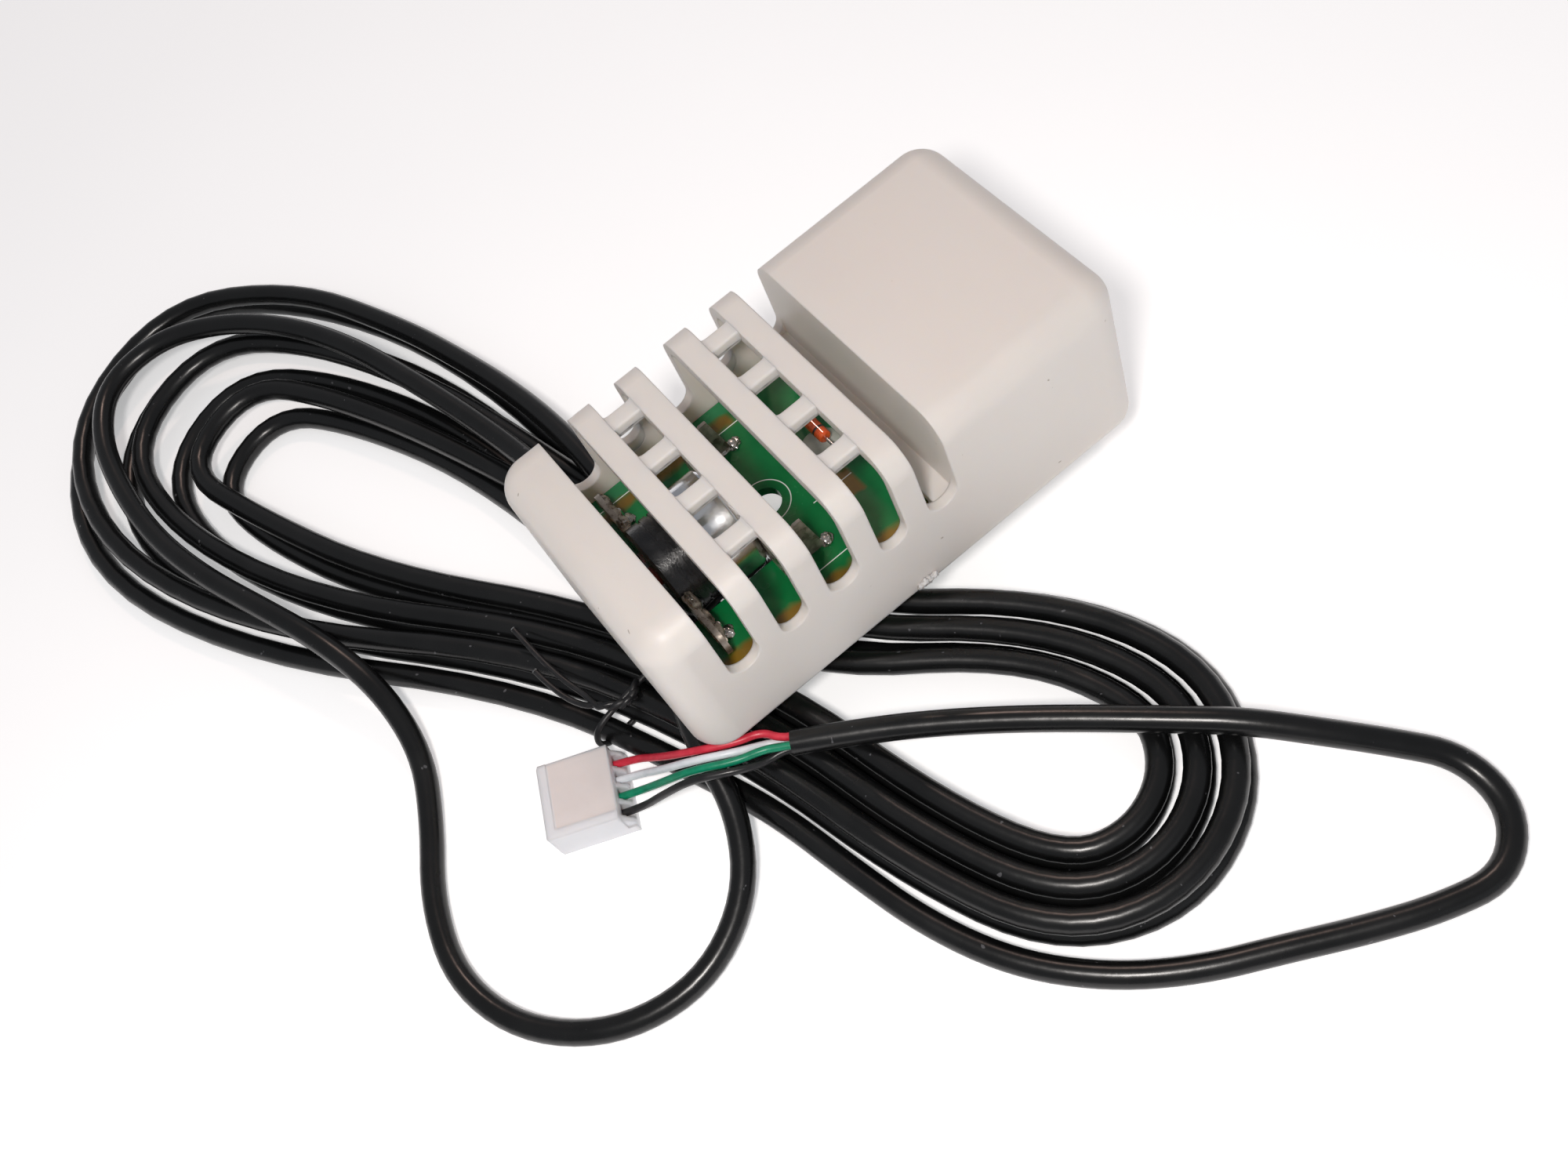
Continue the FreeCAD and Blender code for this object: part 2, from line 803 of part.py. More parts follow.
# The cable's free stretches, as points (x, y, z) chosen along its visible line.
def lead_route():
    start, heading = hank_nodes()[0]
    meet = start - heading * cable_diameter
    before = start - heading * 13.0
    return [
        Vector(notch_x, cover_width / 2 - 5.5, notch_height),
        Vector(notch_x, cover_width / 2 + 7.0, notch_height),
        Vector(-30.3, 40.0, -1.3),
        Vector(-32.8, 54.5, third_level),
        Vector(-36.2, 69.0, third_level),
        Vector(-40.2, 83.5, third_level),
        Vector(-46.0, 96.5, third_level),
        Vector(-54.5, 107.5, third_level),
        Vector(-65.5, 114.5, third_level),
        Vector(-77.0, 113.0, third_level),
        Vector(-82.8, 103.6, third_level),
        Vector(-84.4, 91.0, third_level),
        Vector(-84.0, 77.4, third_level),
        Vector(-80.8, 64.0, third_level),
        Vector(-75.8, 51.0, third_level),
        Vector(-71.2, 38.8, -2.4),
        Vector(-68.4, 27.0, -4.8),
        Vector(-69.2, 15.8, -8.4),
        Vector(-73.8, 6.0, floor_level),
        Vector(-79.8, -4.2, floor_level),
        Vector(-82.6, -16.0, floor_level),
        Vector(-78.8, -28.0, floor_level),
        Vector(-69.0, -36.8, floor_level),
        Vector(-56.2, -39.2, floor_level),
        Vector(-45.2, -34.0, -8.6),
        Vector(-39.1, -24.6, -6.2),
        Vector(-37.8, -15.2, -2.62),
        Vector(-34.3, -5.0, third_level),
        Vector(-29.6, 6.5, third_level),
        Vector(-25.0, 19.0, third_level),
        Vector(-23.6, 32.0, third_level - 0.3),
        Vector(-23.8, 45.0, -3.4),
        Vector(-25.4, 58.0, -4.8),
        Vector(-28.0, 70.0, -5.7),
        before,
        meet,
    ]


def tail_route():
    end, heading = hank_nodes()[-1]
    meet = end + heading * cable_diameter
    after = end + heading * 8.5
    return [
        meet,
        after,
        Vector(-35.2, -28.2, floor_level),
        Vector(-32.7, -40.2, floor_level),
        Vector(-29.8, -52.2, floor_level),
        Vector(-24.9, -63.2, floor_level),
        Vector(-17.6, -71.8, floor_level),
        Vector(-9.0, -78.2, floor_level),
        Vector(0.6, -83.0, floor_level),
        Vector(8.6, -87.2, floor_level),
        Vector(16.6, -90.8, floor_level),
        Vector(24.8, -93.0, floor_level),
        Vector(31.4, -87.9, floor_level),
        Vector(31.8, -79.7, -8.6),
        Vector(26.4, -73.5, -6.2),
        Vector(20.7, -67.7, -3.6),
        Vector(15.0, -61.3, third_level),
        Vector(8.6, -54.9, third_level),
        Vector(2.2, -48.6, third_level),
        Vector(-4.6, -42.2, third_level),
        Vector(-11.8, -36.0, third_level),
        Vector(-19.4, -30.2, third_level),
        Vector(-28.1, -24.4, third_level),
    ]


def samples_along(points):
    """Points every millimetre or so along a route, with its corners rounded off."""
    rounded = points
    for _ in range(3):
        finer = [rounded[0]]
        for a, b in zip(rounded, rounded[1:]):
            finer.append(a * 0.75 + b * 0.25)
            finer.append(a * 0.25 + b * 0.75)
        finer.append(rounded[-1])
        rounded = finer
    dense = []
    for a, b in zip(rounded, rounded[1:]):
        steps = max(1, int((b - a).Length))
        dense.extend(a + (b - a) * (i / steps) for i in range(steps))
    return dense + [rounded[-1]]


def free_cable(name, points):
    solid, length, radii = tube_along(points, cable_diameter / 2)
    report_tube(name, solid, length, radii, cable_diameter / 2)
    return solid


def connector_axes():
    angle = math.radians(connector_angle)
    mate = Vector(math.cos(angle), math.sin(angle), 0)
    across = Vector(math.sin(angle), -math.cos(angle), 0)
    return mate, across


def place_connector(shape):
    """Moves a shape drawn along +X, with its wire end at -X, to the connector's place."""
    shape.rotate(Vector(0, 0, 0), Z, connector_angle)
    shape.translate(Vector(connector_centre[0], connector_centre[1], floor))
    return shape


def core_places():
    return [connector_pitch * k for k in (-1.5, -0.5, 0.5, 1.5)]


def square_bar(x0, x1, y, side):
    """A square bar along the connector, at the height of its cores."""
    half = side / 2
    return block(x0, x1, y - half, y + half, core_height - half, core_height + half)


def connector_housing():
    half_w = connector_width / 2
    half_l = connector_length / 2
    housing = block(-half_l, half_l, -half_w, half_w, 0, connector_height)
    housing = housing.makeChamfer(0.35, [e for e in housing.Edges if e.BoundBox.XMin > half_l - 1e-6])
    lip = block(-half_l - connector_lip, -half_l + 1, -half_w, half_w, 0, 1.7)
    teeth = []
    for k in range(-2, 3):
        y = k * connector_pitch - tooth_width / 2
        profile = [
            (-half_l + 0.5, y, 1.2),
            (-half_l - connector_lip, y, 1.2),
            (-half_l - connector_lip, y, 2.6),
            (-half_l, y, 4.4),
            (-half_l + 0.5, y, 4.4),
        ]
        teeth.append(prism(profile, Y * tooth_width))
    housing = housing.fuse([lip] + teeth)
    panel = block(
        -half_l - 1,
        half_l - 1.5,
        -half_w - 1,
        half_w - 1.3,
        connector_height - panel_depth,
        connector_height + 1,
    )
    tools = [panel]
    for y in core_places():
        tools.append(square_bar(-half_l - 1, -half_l + cavity_depth, y, cavity_side))
        tools.append(square_bar(half_l - 4, half_l + 1, y, mouth_side))
    return place_connector(housing.cut(tools).removeSplitter())


def connector_contact(index):
    """A folded tin box with a crimp that grips the core's end."""
    y = core_places()[index]
    half_l = connector_length / 2
    start = -half_l + core_bite
    end = -half_l + cavity_depth
    box = square_bar(start, end, y, cavity_side - 0.1)
    return place_connector(box.cut(square_bar(start + 2.5, end + 1, y, mouth_side)))


def core_in_jacket(index):
    """Where a core lies in the round cable: (sideways, up) from its middle."""
    sideways = -core_pitch / 2 if index < 2 else core_pitch / 2
    up = -core_pitch / 2 if index % 2 == 0 else core_pitch / 2
    return sideways, up


def outer_core(index):
    """A core from the cable's end, under the cover's corner and into the connector."""
    k = index - 1.5
    mate, across = connector_axes()
    before, end = tail_route()[-2:]
    heading = (end - before).normalize()
    side = Vector(heading.y, -heading.x, 0)
    sideways, up = core_in_jacket(index)
    begin = end + side * sideways + Z * up
    fan = side * (core_fan * k)
    wire_side = Vector(connector_centre[0], connector_centre[1], floor + core_height)
    entry = wire_side - mate * (connector_length / 2) + across * (connector_pitch * k)
    points = [
        begin,
        begin + heading * 1.4,
        end + heading * 4.0 + fan + Z * up,
        Vector(-35.0, -21.4, -0.72) + fan,
        Vector(-40.2, -18.2, -0.72) + fan,
        Vector(-44.2, -14.4, -4.6) + fan * 1.4,
        entry - mate * 2.8,
        entry + mate * core_bite,
    ]
    return tube_along(points, core_diameter / 2)


def inner_core(index):
    """A core from the cable's end inside the cover, up to its pad under the board."""
    start = lead_route()[0]
    sideways, up = core_in_jacket(index)
    begin = start + X * sideways + Z * up
    column = start.x - 2.2 + math.copysign(connector_pitch / 2, sideways)
    pad_y = start.y - (6.4 if up > 0 else 9.2)
    knee_y = pad_y + (2.1 if up > 0 else 3.0)
    points = [
        begin,
        Vector(begin.x, knee_y, begin.z),
        Vector(column, pad_y, board_bottom - 3.1),
        Vector(column, pad_y, board_bottom),
    ]
    return tube_along(points, core_diameter / 2)


def twist_tie():
    """A thin coated wire round the waist, its ends twisted together and splayed beside it."""
    near = along_hank((-3.5, -15.2, 0))
    far = along_hank((5.6, 21.2, 0))
    width = (far - near).Length
    across = (far - near).normalize()
    low = floor + tie_radius
    high = third_level - cable_diameter / 2 - tie_radius - 0.1
    corner = tie_bend * (1 - math.sqrt(0.5))

    def at(u, z):
        return near + across * u + Z * z

    sides = [
        (at(tie_bend, low), at(width - tie_bend, low), at(width - corner, low + corner)),
        (at(width, low + tie_bend), at(width, high - tie_bend), at(width - corner, high - corner)),
        (at(width - tie_bend, high), at(tie_bend, high), at(corner, high - corner)),
        (at(0, high - tie_bend), at(0, low + tie_bend), at(corner, low + corner)),
    ]
    edges = []
    for side, following in zip(sides, sides[1:] + sides[:1]):
        start, end, middle = side
        edges.append(Part.LineSegment(start, end).toShape())
        edges.append(Part.Arc(end, middle, following[0]).toShape())
    start, end, middle = sides[0]
    circle = Part.Wire([Part.makeCircle(tie_radius, start, end - start)])
    ring = Part.Wire(edges).makePipeShell([circle], True, False)
    knot = at(corner, high - corner)
    fork = along_hank((-10.4, -13.2, -4.3))
    twist = [knot, along_hank((-6.6, -14.4, -5.1)), fork]
    upper_end = [
        fork,
        along_hank((-14.4, -12.0, -3.4)),
        along_hank((-19.0, -10.2, -2.6)),
        along_hank((-23.4, -7.4, -2.2)),
    ]
    lower_end = [fork, along_hank((-14.0, -13.8, -3.6)), along_hank((-17.8, -14.0, -2.7))]
    tubes = [
        tube_along(twist, tie_radius * 1.7)[0],
        tube_along(upper_end, tie_radius)[0],
        tube_along(lower_end, tie_radius)[0],
    ]
    return ring.fuse(tubes)


def write(node, shape):
    shape = shape.copy()
    shape.translate(Vector(-fixing_hole_x, 0, -board_top))
    shape.exportStep(f"parts/{node}.step")


def main():
    os.makedirs("parts", exist_ok=True)
    write("cover", cover())
    write("circuit_board", circuit_board())
    write("cutout_body", cutout_body())
    write("cutout_cap", cutout_cap())
    write("pin_guide", pin_guide())
    write("bimetal_disc", bimetal_disc())
    write("transfer_pin", transfer_pin())
    write("contact_arm", contact_arm())
    write("arm_post", arm_post())
    write("fixed_contact", fixed_contact())
    write("reset_button", reset_button())
    write("heat_bracket", heat_bracket())
    write("terminal_far", terminal(1))
    write("terminal_near", terminal(-1))
    write("terminal_pin_far", terminal_pin(1))
    write("terminal_pin_near", terminal_pin(-1))
    write("thermistor_bead", thermistor_bead())
    write("thermistor_lead_far", thermistor_lead(1))
    write("thermistor_lead_near", thermistor_lead(-1))
    write("silicone_drop", silicone_drop())
    write("solder_joints", solder_joints())
    write("connector_housing", connector_housing())
    for index, colour in enumerate(("black", "green", "white", "red")):
        write(f"connector_contact_{colour}", connector_contact(index))
        solid, length, radii = outer_core(index)
        report_tube(f"core_{colour}", solid, length, radii, core_diameter / 2)
        write(f"core_{colour}", solid)
        solid, length, radii = inner_core(index)
        report_tube(f"inner_core_{colour}", solid, length, radii, core_diameter / 2)
        write(f"inner_core_{colour}", solid)
    write("cable_hank", cable_hank())
    write("cable_lead", free_cable("lead", lead_route()))
    write("cable_tail", free_cable("tail", tail_route()))
    lead = samples_along(lead_route())
    tail = samples_along(tail_route())
    hank = hank_path()[1]
    print(f"least gap, lead to hank: {least_gap(lead[:-joined_samples], hank):.2f}")
    print(f"least gap, tail to hank: {least_gap(tail[joined_samples:], hank):.2f}")
    print(f"least gap, lead to tail: {least_gap(lead, tail):.2f}")
    print(f"least gap, lead to itself: {least_gap(lead, lead, True):.2f}")
    write("twist_tie", twist_tie())


main()
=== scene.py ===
"""Looks of the sauna temperature sensor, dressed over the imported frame.

Places are written in millimetres about the centre of the cover's rim, as the CAD
source draws them, and placed() turns them into metres of the row's frame. Places,
radii and depths inside a material are in metres, and its noise scales are per metre."""

import json
import math

import bmesh
import bpy
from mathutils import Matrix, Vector, noise


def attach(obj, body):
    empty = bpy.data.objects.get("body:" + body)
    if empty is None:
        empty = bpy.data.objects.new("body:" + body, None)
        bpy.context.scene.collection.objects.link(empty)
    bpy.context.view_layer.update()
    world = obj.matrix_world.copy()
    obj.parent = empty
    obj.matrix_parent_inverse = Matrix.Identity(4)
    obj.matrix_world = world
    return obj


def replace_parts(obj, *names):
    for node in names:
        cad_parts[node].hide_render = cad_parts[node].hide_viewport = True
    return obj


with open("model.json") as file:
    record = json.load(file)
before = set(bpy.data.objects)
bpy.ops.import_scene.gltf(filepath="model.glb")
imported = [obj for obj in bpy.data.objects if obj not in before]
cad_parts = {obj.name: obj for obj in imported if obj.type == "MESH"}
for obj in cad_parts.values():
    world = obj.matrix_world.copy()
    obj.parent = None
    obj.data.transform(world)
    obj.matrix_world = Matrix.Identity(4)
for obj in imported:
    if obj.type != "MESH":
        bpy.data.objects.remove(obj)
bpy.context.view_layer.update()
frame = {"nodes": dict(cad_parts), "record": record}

MM = 0.001
BODY = "sensor"
FIXING_HOLE_X = -10.4
BOARD_TOP = 9.3
BOARD_BOTTOM = 7.7
RIB_TOP = 27.0
CABLE_DIAMETER = 3.5
CORE_DIAMETER = 1.1
CONNECTOR_CENTRE = (-54.7, -7.4)
CONNECTOR_ANGLE = math.radians(156.0)
CONNECTOR_LENGTH = 10.5
CONNECTOR_PITCH = 2.5

# Heights of the floor, and of the cable's middle on it, on the first layer and on the second.
FLOOR = -11.2
FLOOR_LEVEL = FLOOR + CABLE_DIAMETER / 2
TOP_LEVEL = -6.0
THIRD_LEVEL = -2.05


def placed(x, y, z):
    return Vector(((x - FIXING_HOLE_X) * MM, y * MM, (z - BOARD_TOP) * MM))


# ---- Materials: each is one shader with procedural colour, roughness and bump. ----

def new_material(name):
    material = bpy.data.materials.new(name)
    material.use_nodes = True
    nodes = material.node_tree.nodes
    nodes.clear()
    output = nodes.new("ShaderNodeOutputMaterial")
    shader = nodes.new("ShaderNodeBsdfPrincipled")
    material.node_tree.links.new(shader.outputs["BSDF"], output.inputs["Surface"])
    return material, shader


def connect(material, shader, colour, roughness, normal):
    links = material.node_tree.links
    links.new(colour, shader.inputs["Base Color"])
    links.new(roughness, shader.inputs["Roughness"])
    links.new(normal, shader.inputs["Normal"])


def set_sockets(shader, **values):
    """Values that are the same all over: Coat_Weight=0.6 sets the socket Coat Weight."""
    for name, value in values.items():
        shader.inputs[name.replace("_", " ")].default_value = value


def noise_of(material, scale, detail=3.0):
    """A noise texture in the row's own coordinates, so that its grain has a real size."""
    tree = material.node_tree
    coords = tree.nodes.new("ShaderNodeTexCoord")
    texture = tree.nodes.new("ShaderNodeTexNoise")
    texture.inputs["Scale"].default_value = scale
    texture.inputs["Detail"].default_value = detail
    texture.inputs["Roughness"].default_value = 0.55
    tree.links.new(coords.outputs["Object"], texture.inputs["Vector"])
    return texture.outputs["Fac"]


def position_of(material, origin=None, angle=0.0):
    """A place's X, Y and Z in the row's frame, or from a piece's own origin and angle."""
    tree = material.node_tree
    vector = tree.nodes.new("ShaderNodeTexCoord").outputs["Object"]
    if origin is not None:
        local = tree.nodes.new("ShaderNodeMapping")
        local.vector_type = "TEXTURE"
        local.inputs["Location"].default_value = origin
        local.inputs["Rotation"].default_value = (0.0, 0.0, angle)
        tree.links.new(vector, local.inputs["Vector"])
        vector = local.outputs["Vector"]
    split = tree.nodes.new("ShaderNodeSeparateXYZ")
    tree.links.new(vector, split.inputs["Vector"])
    return split.outputs


def two_tone(material, source, dark, light, start=0.3, end=0.7):
    """From a dark colour to a light one as the source goes from start to end."""
    tree = material.node_tree
    ramp = tree.nodes.new("ShaderNodeValToRGB")
    for element, position, colour in zip(ramp.color_ramp.elements, (start, end), (dark, light)):
        element.position = position
        element.color = (*colour, 1.0)
    tree.links.new(source, ramp.inputs["Fac"])
    return ramp.outputs["Color"]


def range_of(material, source, low, high, start=0.3, end=0.7):
    """From low to high as the source goes from start to end."""
    tree = material.node_tree
    node = tree.nodes.new("ShaderNodeMapRange")
    node.inputs["From Min"].default_value = start
    node.inputs["From Max"].default_value = end
    node.inputs["To Min"].default_value = low
    node.inputs["To Max"].default_value = high
    tree.links.new(source, node.inputs["Value"])
    return node.outputs["Result"]


def math_of(material, operation, a, b=None):
    tree = material.node_tree
    node = tree.nodes.new("ShaderNodeMath")
    node.operation = operation
    for index, value in enumerate((a, b)):
        if value is None:
            continue
        if isinstance(value, (int, float)):
            node.inputs[index].default_value = value
        else:
            tree.links.new(value, node.inputs[index])
    return node.outputs[0]


def product_of(material, a, b):
    return math_of(material, "MULTIPLY", a, b)


def either_of(material, a, b):
    return math_of(material, "MAXIMUM", a, b)


def band_of(material, value, low, high, soft):
    """1 where value lies between low and high, with soft edges."""
    rise = range_of(material, value, 0.0, 1.0, low - soft, low + soft)
    fall = range_of(material, value, 1.0, 0.0, high - soft, high + soft)
    return product_of(material, rise, fall)


def mixed(material, factor, a, b):
    """Colour a where the factor is 0 and colour b where it is 1."""
    tree = material.node_tree
    node = tree.nodes.new("ShaderNodeMix")
    node.data_type = "RGBA"
    tree.links.new(factor, node.inputs[0])
    for index, value in ((6, a), (7, b)):
        if isinstance(value, tuple):
            node.inputs[index].default_value = (*value, 1.0)
        else:
            tree.links.new(value, node.inputs[index])
    return node.outputs[2]


def bump_of(material, source, strength, depth, normal=None):
    tree = material.node_tree
    node = tree.nodes.new("ShaderNodeBump")
    node.inputs["Strength"].default_value = strength
    node.inputs["Distance"].default_value = depth
    tree.links.new(source, node.inputs["Height"])
    if normal:
        tree.links.new(normal, node.inputs["Normal"])
    return node.outputs["Normal"]


def soft_edges(material, radius):
    """A normal that rounds the piece's sharp edges."""
    node = material.node_tree.nodes.new("ShaderNodeBevel")
    node.samples = 6
    node.inputs["Radius"].default_value = radius
    return node.outputs["Normal"]


def finish(name, dark, light, patch, roughness, grain, depth, **sockets):
    """The usual finish: patches of two colours, a roughness range and a fine grain."""
    material, shader = new_material(name)
    patches = noise_of(material, patch)
    colour = two_tone(material, patches, dark, light, start=0.35, end=0.65)
    normal = bump_of(material, noise_of(material, grain, detail=4.0), 0.5, depth)
    connect(material, shader, colour, range_of(material, patches, *roughness), normal)
    set_sockets(shader, **sockets)
    return material


def cover_material():
    """White moulded plastic with a satin skin and a few darker specks."""
    material, shader = new_material("cover_plastic")
    broad = noise_of(material, scale=45.0, detail=2.0)
    specks = noise_of(material, scale=620.0, detail=1.0)
    speck_mask = range_of(material, specks, 0.0, 1.0, start=0.785, end=0.8)
    colour = two_tone(material, broad, (0.73, 0.685, 0.65), (0.765, 0.72, 0.685))
    colour = mixed(material, speck_mask, colour, (0.45, 0.4, 0.35))
    waves = noise_of(material, scale=70.0, detail=1.0)
    normal = bump_of(material, waves, 0.25, 0.0001, soft_edges(material, radius=0.0004))
    normal = bump_of(material, noise_of(material, scale=1600.0), 0.3, 0.000018, normal)
    connect(material, shader, colour, range_of(material, broad, 0.38, 0.45), normal)
    set_sockets(
        shader,
        Subsurface_Weight=0.35,
        Subsurface_Radius=(0.0036, 0.0026, 0.0018),
        Subsurface_Scale=1.0,
        IOR=1.49,
    )
    return material


# The board's bare brown strips and pale edge, from and to along y or x.
NEAR_STRIP_Y = (-0.030, -0.0152)
FAR_STRIP_Y = (0.0138, 0.0156)
FAR_STRIP_X = (-0.040, 0.0046)
FAR_PALE_Y = (0.0158, 0.030)
LADDER_PATCH_X = (0.0062, 0.0110)
LADDER_PATCH_Y = (-0.0080, -0.0036)
# The white print: a ring round the fixing hole, and lines given by y, x start and x end.
PRINT_RING_RADIUS = 0.0035
PRINT_HALF_WIDTH = 0.00007
PRINT_SOFTNESS = 0.00003
PRINT_LINES = (
    (0.01365, -0.0005, 0.0055),
    (-0.01365, -0.0030, 0.0035),
    (0.0158, -0.0200, -0.0120),
    (-0.00495, 0.0045, 0.0110),
)


def print_line(material, value, middle):
    low, high = middle - PRINT_HALF_WIDTH, middle + PRINT_HALF_WIDTH
    return band_of(material, value, low, high, PRINT_SOFTNESS)


def board_print(material, x, y):
    """The mask of the print."""
    x_squared, y_squared = product_of(material, x, x), product_of(material, y, y)
    distance = math_of(material, "SQRT", math_of(material, "ADD", x_squared, y_squared))
    mask = print_line(material, distance, PRINT_RING_RADIUS)
    for line_y, start, end in PRINT_LINES:
        across = print_line(material, y, line_y)
        line = product_of(material, across, band_of(material, x, start, end, 0.00005))
        mask = either_of(material, mask, line)
    return mask


def board_material():
    """Green solder mask over laminate, bare and brown along the edges, with white print."""
    material, shader = new_material("board_mask")
    position = position_of(material)
    x, y = position["X"], position["Y"]
    drift = math_of(material, "SUBTRACT", noise_of(material, scale=240.0, detail=2.0), 0.5)
    uneven_y = math_of(material, "ADD", y, product_of(material, drift, 0.003))
    cloud = noise_of(material, scale=160.0)
    green = two_tone(material, cloud, (0.0, 0.115, 0.028), (0.0, 0.165, 0.04))
    brown = two_tone(material, cloud, (0.12, 0.07, 0.008), (0.22, 0.13, 0.014))
    pale = two_tone(material, cloud, (0.01, 0.16, 0.055), (0.03, 0.23, 0.09))
    near_strip = band_of(material, uneven_y, *NEAR_STRIP_Y, 0.0005)
    far_strip_y = band_of(material, uneven_y, *FAR_STRIP_Y, 0.0005)
    far_strip = product_of(material, far_strip_y, band_of(material, x, *FAR_STRIP_X, 0.0004))
    far_pale = band_of(material, uneven_y, *FAR_PALE_Y, 0.0003)
    patch_x = band_of(material, x, *LADDER_PATCH_X, 0.0003)
    patch_y = band_of(material, uneven_y, *LADDER_PATCH_Y, 0.0003)
    bare = either_of(material, far_strip, product_of(material, patch_x, patch_y))
    bare = either_of(material, near_strip, bare)
    colour = mixed(material, far_pale, green, pale)
    colour = mixed(material, bare, colour, brown)
    colour = mixed(material, board_print(material, x, y), colour, (0.78, 0.82, 0.78))
    waves = noise_of(material, scale=200.0, detail=1.0)
    weave = noise_of(material, scale=2600.0, detail=2.0)
    normal = bump_of(material, weave, 0.25, 0.00001, bump_of(material, waves, 0.3, 0.00008))
    connect(material, shader, colour, range_of(material, cloud, 0.2, 0.3), normal)
    set_sockets(shader, Specular_IOR_Level=0.35, Coat_Weight=0.15, Coat_Roughness=0.1)
    return material


def bead_material():
    """Orange glass with a dark band round its middle."""
    material, shader = new_material("bead_glass")
    cloud = noise_of(material, scale=1800.0)
    band = band_of(material, position_of(material)["Y"], 0.00155, 0.00195, 0.00008)
    colour = two_tone(material, cloud, (0.62, 0.06, 0.012), (0.85, 0.14, 0.03))
    colour = mixed(material, band, colour, (0.035, 0.02, 0.02))
    normal = bump_of(material, cloud, 0.2, 0.00002)
    connect(material, shader, colour, range_of(material, cloud, 0.08, 0.16), normal)
    set_sockets(shader, Coat_Weight=0.6, Coat_Roughness=0.05)
    return material


def connector_material():
    """Milky pinkish nylon, with a paler bluish border painted round the top as a highlight on its
    rounded edges.
    """
    material, shader = new_material("connector_nylon")
    position = position_of(material, placed(*CONNECTOR_CENTRE, FLOOR), CONNECTOR_ANGLE)
    along = band_of(material, position["X"], -0.0051, 0.0036, 0.00015)
    across = band_of(material, position["Y"], -0.0054, 0.0042, 0.00015)
    cloud = noise_of(material, scale=160.0)
    # The paler bluish border round the top is a painted highlight of its rounded edges, not a
    # separate frame.
    painted_edge_highlight_colour = two_tone(material, cloud, (0.74, 0.74, 0.77), (0.79, 0.79, 0.82))
    nylon_colour = two_tone(material, cloud, (0.73, 0.665, 0.65), (0.78, 0.715, 0.7))
    inside_highlight_border = product_of(material, along, across)
    colour = mixed(material, inside_highlight_border, painted_edge_highlight_colour, nylon_colour)
    grain = noise_of(material, scale=1500.0)
    normal = bump_of(material, grain, 0.4, 0.00003, soft_edges(material, radius=0.0009))
    connect(material, shader, colour, range_of(material, cloud, 0.3, 0.4), normal)
    set_sockets(
        shader,
        Subsurface_Weight=0.35,
        Subsurface_Radius=(0.003, 0.0024, 0.002),
        Subsurface_Scale=1.0,
    )
    return material


def cable_material():
    """Black soft PVC: a satin skin with faint streaks and fine dust."""
    material, shader = new_material("cable_jacket")
    broad = noise_of(material, scale=120.0)
    dust = noise_of(material, scale=900.0, detail=1.0)
    dust_mask = range_of(material, dust, 0.0, 0.6, start=0.765, end=0.79)
    colour = two_tone(material, broad, (0.0028, 0.003, 0.0031), (0.0058, 0.0061, 0.0064))
    colour = mixed(material, dust_mask, colour, (0.14, 0.14, 0.15))
    waves = noise_of(material, scale=260.0, detail=2.0)
    fine = noise_of(material, scale=2200.0)
    normal = bump_of(material, fine, 0.3, 0.00002, bump_of(material, waves, 0.35, 0.00012))
    connect(material, shader, colour, range_of(material, broad, 0.24, 0.31), normal)
    set_sockets(shader, Specular_IOR_Level=0.45)
    return material


# Each core's dark and light colour and its range of roughness, from the plug's black end.
CORES = {
    "black": ((0.008, 0.008, 0.009), (0.016, 0.016, 0.017), (0.3, 0.42)),
    "green": ((0.0, 0.2, 0.1), (0.0, 0.27, 0.14), (0.3, 0.4)),
    "white": ((0.72, 0.75, 0.8), (0.8, 0.83, 0.87), (0.3, 0.4)),
    "red": ((0.56, 0.02, 0.045), (0.68, 0.035, 0.065), (0.3, 0.4)),
}

